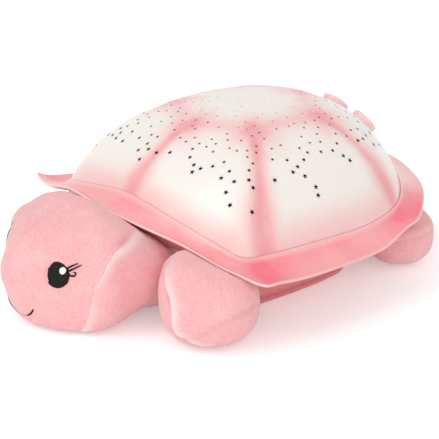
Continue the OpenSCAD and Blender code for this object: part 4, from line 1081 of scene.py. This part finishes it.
# The brim's underside as points, to keep the plush below it.
brim_low = brim_at(ring_u[None], np.linspace(0, 1, 24)[:, None]).reshape(-1, 3) - [0, 0, BRIM_T]


def between(points, gap=0.5):
    """Points that would reach the brim from below are pressed down to a gap under it, and those that
    would sink into the table are kept on it."""
    points = points.copy()
    near = np.flatnonzero(points[:, 2] > 34)
    for some in np.array_split(near, max(1, len(near) // 500)):
        away = np.linalg.norm(points[some, None, :2] - brim_low[None, :, :2], axis=-1)
        least = away.argmin(1)
        ease = np.maximum(0, away.min(1) - 1.5) * 0.9
        points[some, 2] = np.minimum(points[some, 2], brim_low[least, 2] - gap + ease)
    points[:, 2] = np.maximum(points[:, 2], 0.05)
    return points


# The left cheek's seam, and the crown's seam over the top of the head.
cheek = smooth_open(np.array([
    [33, -100.6, 56.2], [47.2, -117.2, 59.1], [52, -129.7, 55.8], [53, -137.1, 48.3],
    [52.7, -141.2, 42.3], [51.7, -145.2, 35.1], [50.8, -146.2, 29.8], [48, -146.5, 20],
    [44, -146, 10], [36, -144, 3]]), np.linspace(0, 9, 90))
crown = head_at(np.linspace(3.4, 10.8, 80), np.zeros(80))
grid = head_at(np.linspace(0, 12, 49)[:, None], np.linspace(0, 360, 64, endpoint=False)[None])
points, faces = capped(grid)
mirror_x = np.array([-1.0, 1.0, 1.0])
head_seams = ((cheek, 1.1, 1), (cheek * mirror_x, 1.1, -1), (crown, 0.35, 1))
EYE_R = 7.7
EYE_SITES = {1: [31.9, -156.8, 42.2], -1: [-38.6, -143.5, 42.8]}


def head_pins(points):
    """The neck and the seams are held."""
    return np.where(points[:, 1] > -66, 1.0, seam_grip(points, head_seams))


def head_cap(points):
    """The fill may push out by 1 mm near the shell's brim and the neck, and by 1.6 mm elsewhere."""
    return 1.0 + 0.6 * smoothed((-96 - points[:, 1]) / 25)


points, faces, outs = stuffed("head", points, faces, head_cap, head_pins)
points, seam, brushed_sheen = drawn(points, outs, head_seams, 2.1, 1.4, 1)
# Each eye is drawn in along a ring round its disc, and the neck, in the brim's shadow, gets the darker seam
# tone as painted shade.
for eye in EYE_SITES.values():
    ring = np.exp(-((np.linalg.norm(points - eye, axis=1) - (EYE_R + 1.2)) / 1.1) ** 2)
    points = points - outs * 0.55 * ring[:, None]
    seam = np.maximum(seam, 0.5 * ring)
seam = np.maximum(seam, 1.3 * smoothed((points[:, 1] + 98) / 26))
points = between(points + outs * 0.22 * wander(points, 9.0, 11)[:, None])
head = make_piece("plush_head", points, faces, pink_plush, marks=pile_marks(seam, brushed_sheen))
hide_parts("head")
head_stitches = stitched("head_stitches", [cheek[6:], cheek[6:] * mirror_x], head, sewing_thread)

# ---- Embroidered eyes and mouth ----
# Each eye is a satin-stitched black disc with a white glint and three lashes. The mouth is one fine
# line of thread.
GLINT_R, GLINT_AT = 2.0, (3.5, 2.9)


def eye_place(side):
    """The eye's middle on the head, and the ways towards the back of the head and up there. The
    right one is sewn on a little further back."""
    site = laid([EYE_SITES[side]], head)[0]
    out = unit(np.array([0.80 * side, -0.58, 0.14]))
    up = unit(np.array([0, 0, 1.0]) - out * out[2])
    return site, np.cross(up, out) * side, up


def on_face(flat, place):
    """Flat points about an eye's middle, x towards the back of the head and y up, as places there."""
    site, back, up = place
    return site + flat[..., :1] * back + flat[..., 1:2] * up


def stitched_disc(name, place, side, middle, radius, height, thick, finish):
    """A low dome of thread: rings of points laid on the head, lifted most at the middle, with an
    underside just inside the pile."""
    r = np.concatenate([np.linspace(0.06, 0.9, 12), [0.96, 1.0]])
    t = 2 * np.pi * np.arange(48) / 48 * side
    flat = np.stack([middle[0] + radius * r[:, None] * np.cos(t),
                     middle[1] + radius * 1.05 * r[:, None] * np.sin(t)], -1)
    base, out = laid_out(on_face(flat.reshape(-1, 2), place), head)
    rise = height + thick * (1 - np.repeat(r, 48) ** 4)
    upper = (base + out * rise[:, None]).reshape(len(r), 48, 3)
    lower = (base - out * 0.4).reshape(len(r), 48, 3)
    disc = make_piece(name, *capped(np.concatenate([lower, upper[::-1]])), finish)
    return disc


lashes = ([[5.4, 4.3], [8.6, 5.5], [13.2, 7.3]], [[6.6, 2.7], [10, 3.9], [15.6, 6.4]],
          [[6.9, 1.0], [8.8, 0.1], [10.9, 0.5], [11.9, 2.0], [10.6, 2.6]])
lash_width = 0.30 + 0.42 * (1 - np.linspace(0, 1, 18) ** 1.5)
for side, label in ((1, "left"), (-1, "right")):
    place = eye_place(side)
    disc = stitched_disc("eye_disc_" + label, place, side, (0, 0), EYE_R, 0.15, 0.5, embroidery_black)
    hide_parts("eye_" + label)
    stitched_disc("eye_glint_" + label, place, side, GLINT_AT, GLINT_R, 0.66, 0.25, embroidery_white)
    threads = []
    for lash in lashes:
        flat = smooth_open(np.array(lash), np.linspace(0, len(lash) - 1, 18))
        threads.append(thread_line(*laid_out(on_face(flat, place), head, 0.25), lash_width))
    lash_piece = make_piece("eye_lashes_" + label, *joined(threads), embroidery_black)

t = np.linspace(-1, 1, 60)
smile = laid_out(head_at(9.33 - 0.05 * t ** 2, 180 + 52 * t), head, 0.1, 1.1)
width = 0.10 + 0.52 * smoothed((np.abs(t) - 0.22) / 0.40) * (1 - 0.5 * smoothed((np.abs(t) - 0.9) / 0.1))
mouth = make_piece("mouth_line", *thread_line(*smile, width), embroidery_black)
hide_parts("mouth_stitching")

# ---- Flippers and tail ----
# Stuffed plush pads, each cut in two panels and sewn round, closed at the body. They bear on the
# table with a flat patch, and the right front one has settled flatter and closer to the body.


def pad_grid(at, size, turn, lean=0.0, full=0.86):
    """A superellipsoid that is lower on one side by a share of its height, flat on the table."""
    a, b = np.meshgrid(np.radians(np.arange(56) * 360 / 56), np.radians(np.linspace(-84, 84, 33)))
    p, q = swell(np.cos(b), full) * swell(np.cos(a)), swell(np.cos(b), full) * swell(np.sin(a))
    r = swell(np.sin(b), full)
    x, y = p * size[0] / 2, q * size[1] / 2
    z = np.maximum(0, (r * 1.04 + 0.96) * size[2] / 2) * (1 - lean * q)
    c, s = np.cos(np.radians(turn)), np.sin(np.radians(turn))
    return capped(np.stack([at[0] + x * c - y * s, at[1] + x * s + y * c, z], -1))


def by_sleeve(u, turn, out, across):
    """A place out and across from the body's outline at a knot, along a turn."""
    p, c, s = foot_at(np.array([u]), SLEEVE_IN)[0], np.cos(np.radians(turn)), np.sin(np.radians(turn))
    return np.array([p[0] + out * c - across * s, p[1] + out * s + across * c])


FRONT_SIZE, REAR_SIZE, TAIL_SIZE = (71, 65, 53.5), (50, 60, 39), (24, 44, 22)
FRONT_TURN, REAR_TURN = -38.5, 51.5
SLEEVE_REAR, TAIL_SUNK = 96.0, 2.2
RIGHT_FLATTER, RIGHT_SHIFT = 0.80, [3.9, 3.1, 0]
front_at = by_sleeve(3.0, FRONT_TURN, FRONT_SIZE[0] / 2 - 4.95, -21.5)
rear_at = by_sleeve(7.65, REAR_TURN, REAR_SIZE[0] / 2 + 0.3, 0)
tail_at = (0, SLEEVE_REAR - TAIL_SUNK + TAIL_SIZE[1] / 2)
# The seams of the left flippers, front and rear.
front_seam = smooth_open(np.array([
    [66, -84, 42], [73, -95, 42.8], [81, -106.5, 40], [87.2, -113, 34], [89.4, -115.2, 26],
    [88.9, -114.9, 18.1], [90.1, -112.6, 12.1], [94.3, -109.6, 8.4], [99, -105, 4],
    [102, -99, 1]]), np.linspace(0, 9, 80))
front_crease = smooth_open(np.array([
    [94.3, -109.6, 8.4], [101, -107.6, 9.4], [107.1, -104.6, 12], [114.5, -99.2, 19.1], [119, -91.1, 24.1],
    [120, -80, 27], [115, -67, 29]]), np.linspace(0, 6, 60))
rear_seam = smooth_open(np.array([
    [58, 76, 9], [63, 74.6, 13.1], [74.4, 74.8, 18.7], [81.8, 79.4, 21.2], [88.1, 88.4, 24.3],
    [89.4, 104.1, 25.4], [82, 119, 25], [68, 127.5, 24], [52, 127, 23]]), np.linspace(0, 8, 80))
# Each pad: its name, its shape, its seams with how deep and on which side, and where it meets the body.
for label, grid, seams, body_side in (
        ("front_flipper", pad_grid(front_at, FRONT_SIZE, FRONT_TURN, 0.11, 0.76),
         ((front_seam, 1.3, 1), (front_crease, 0.9, 1)), (70, -75)),
        ("rear_flipper", pad_grid(rear_at, REAR_SIZE, REAR_TURN), ((rear_seam, 1.1, 1),), (55, 92)),
        ("tail", pad_grid(tail_at, TAIL_SIZE, 0), (), (0, 100))):
    def pad_pins(points, seams=seams):
        """The seams are held."""
        return seam_grip(points, seams)

    def pad_cap(points, body_side=body_side):
        """Little swelling beside the body, more at the free end."""
        return 1.2 + 1.2 * smoothed((np.linalg.norm(points[:, :2] - body_side, axis=1) - 22) / 18)

    points, faces, outs = stuffed(label, *grid, pad_cap, pad_pins, voxel=3.2 if label == "tail" else 4.2)
    points, seam, brushed_sheen = drawn(points, outs, seams, 1.7, 1.3, 1.2)
    points = between(points + outs * 0.2 * wander(points, 8.0, 23)[:, None])
    for side, word in ((1, "_left"), (-1, "_right")) if label != "tail" else ((1, ""),):
        turned = faces if side > 0 else faces[:, ::-1]
        flatter = label == "front_flipper" and side < 0
        scale, shift = ([side, 1, RIGHT_FLATTER], RIGHT_SHIFT) if flatter else ([side, 1, 1], [0, 0, 0])
        pad = make_piece("plush_" + label + word, points * scale + shift, turned, pink_plush,
                         marks=pile_marks(seam, brushed_sheen))
        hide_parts(label + word)
        if seams:
            threads = stitched(label + "_stitches" + word, [seams[0][0][3:-3] * scale + shift],
                               pad, sewing_thread)
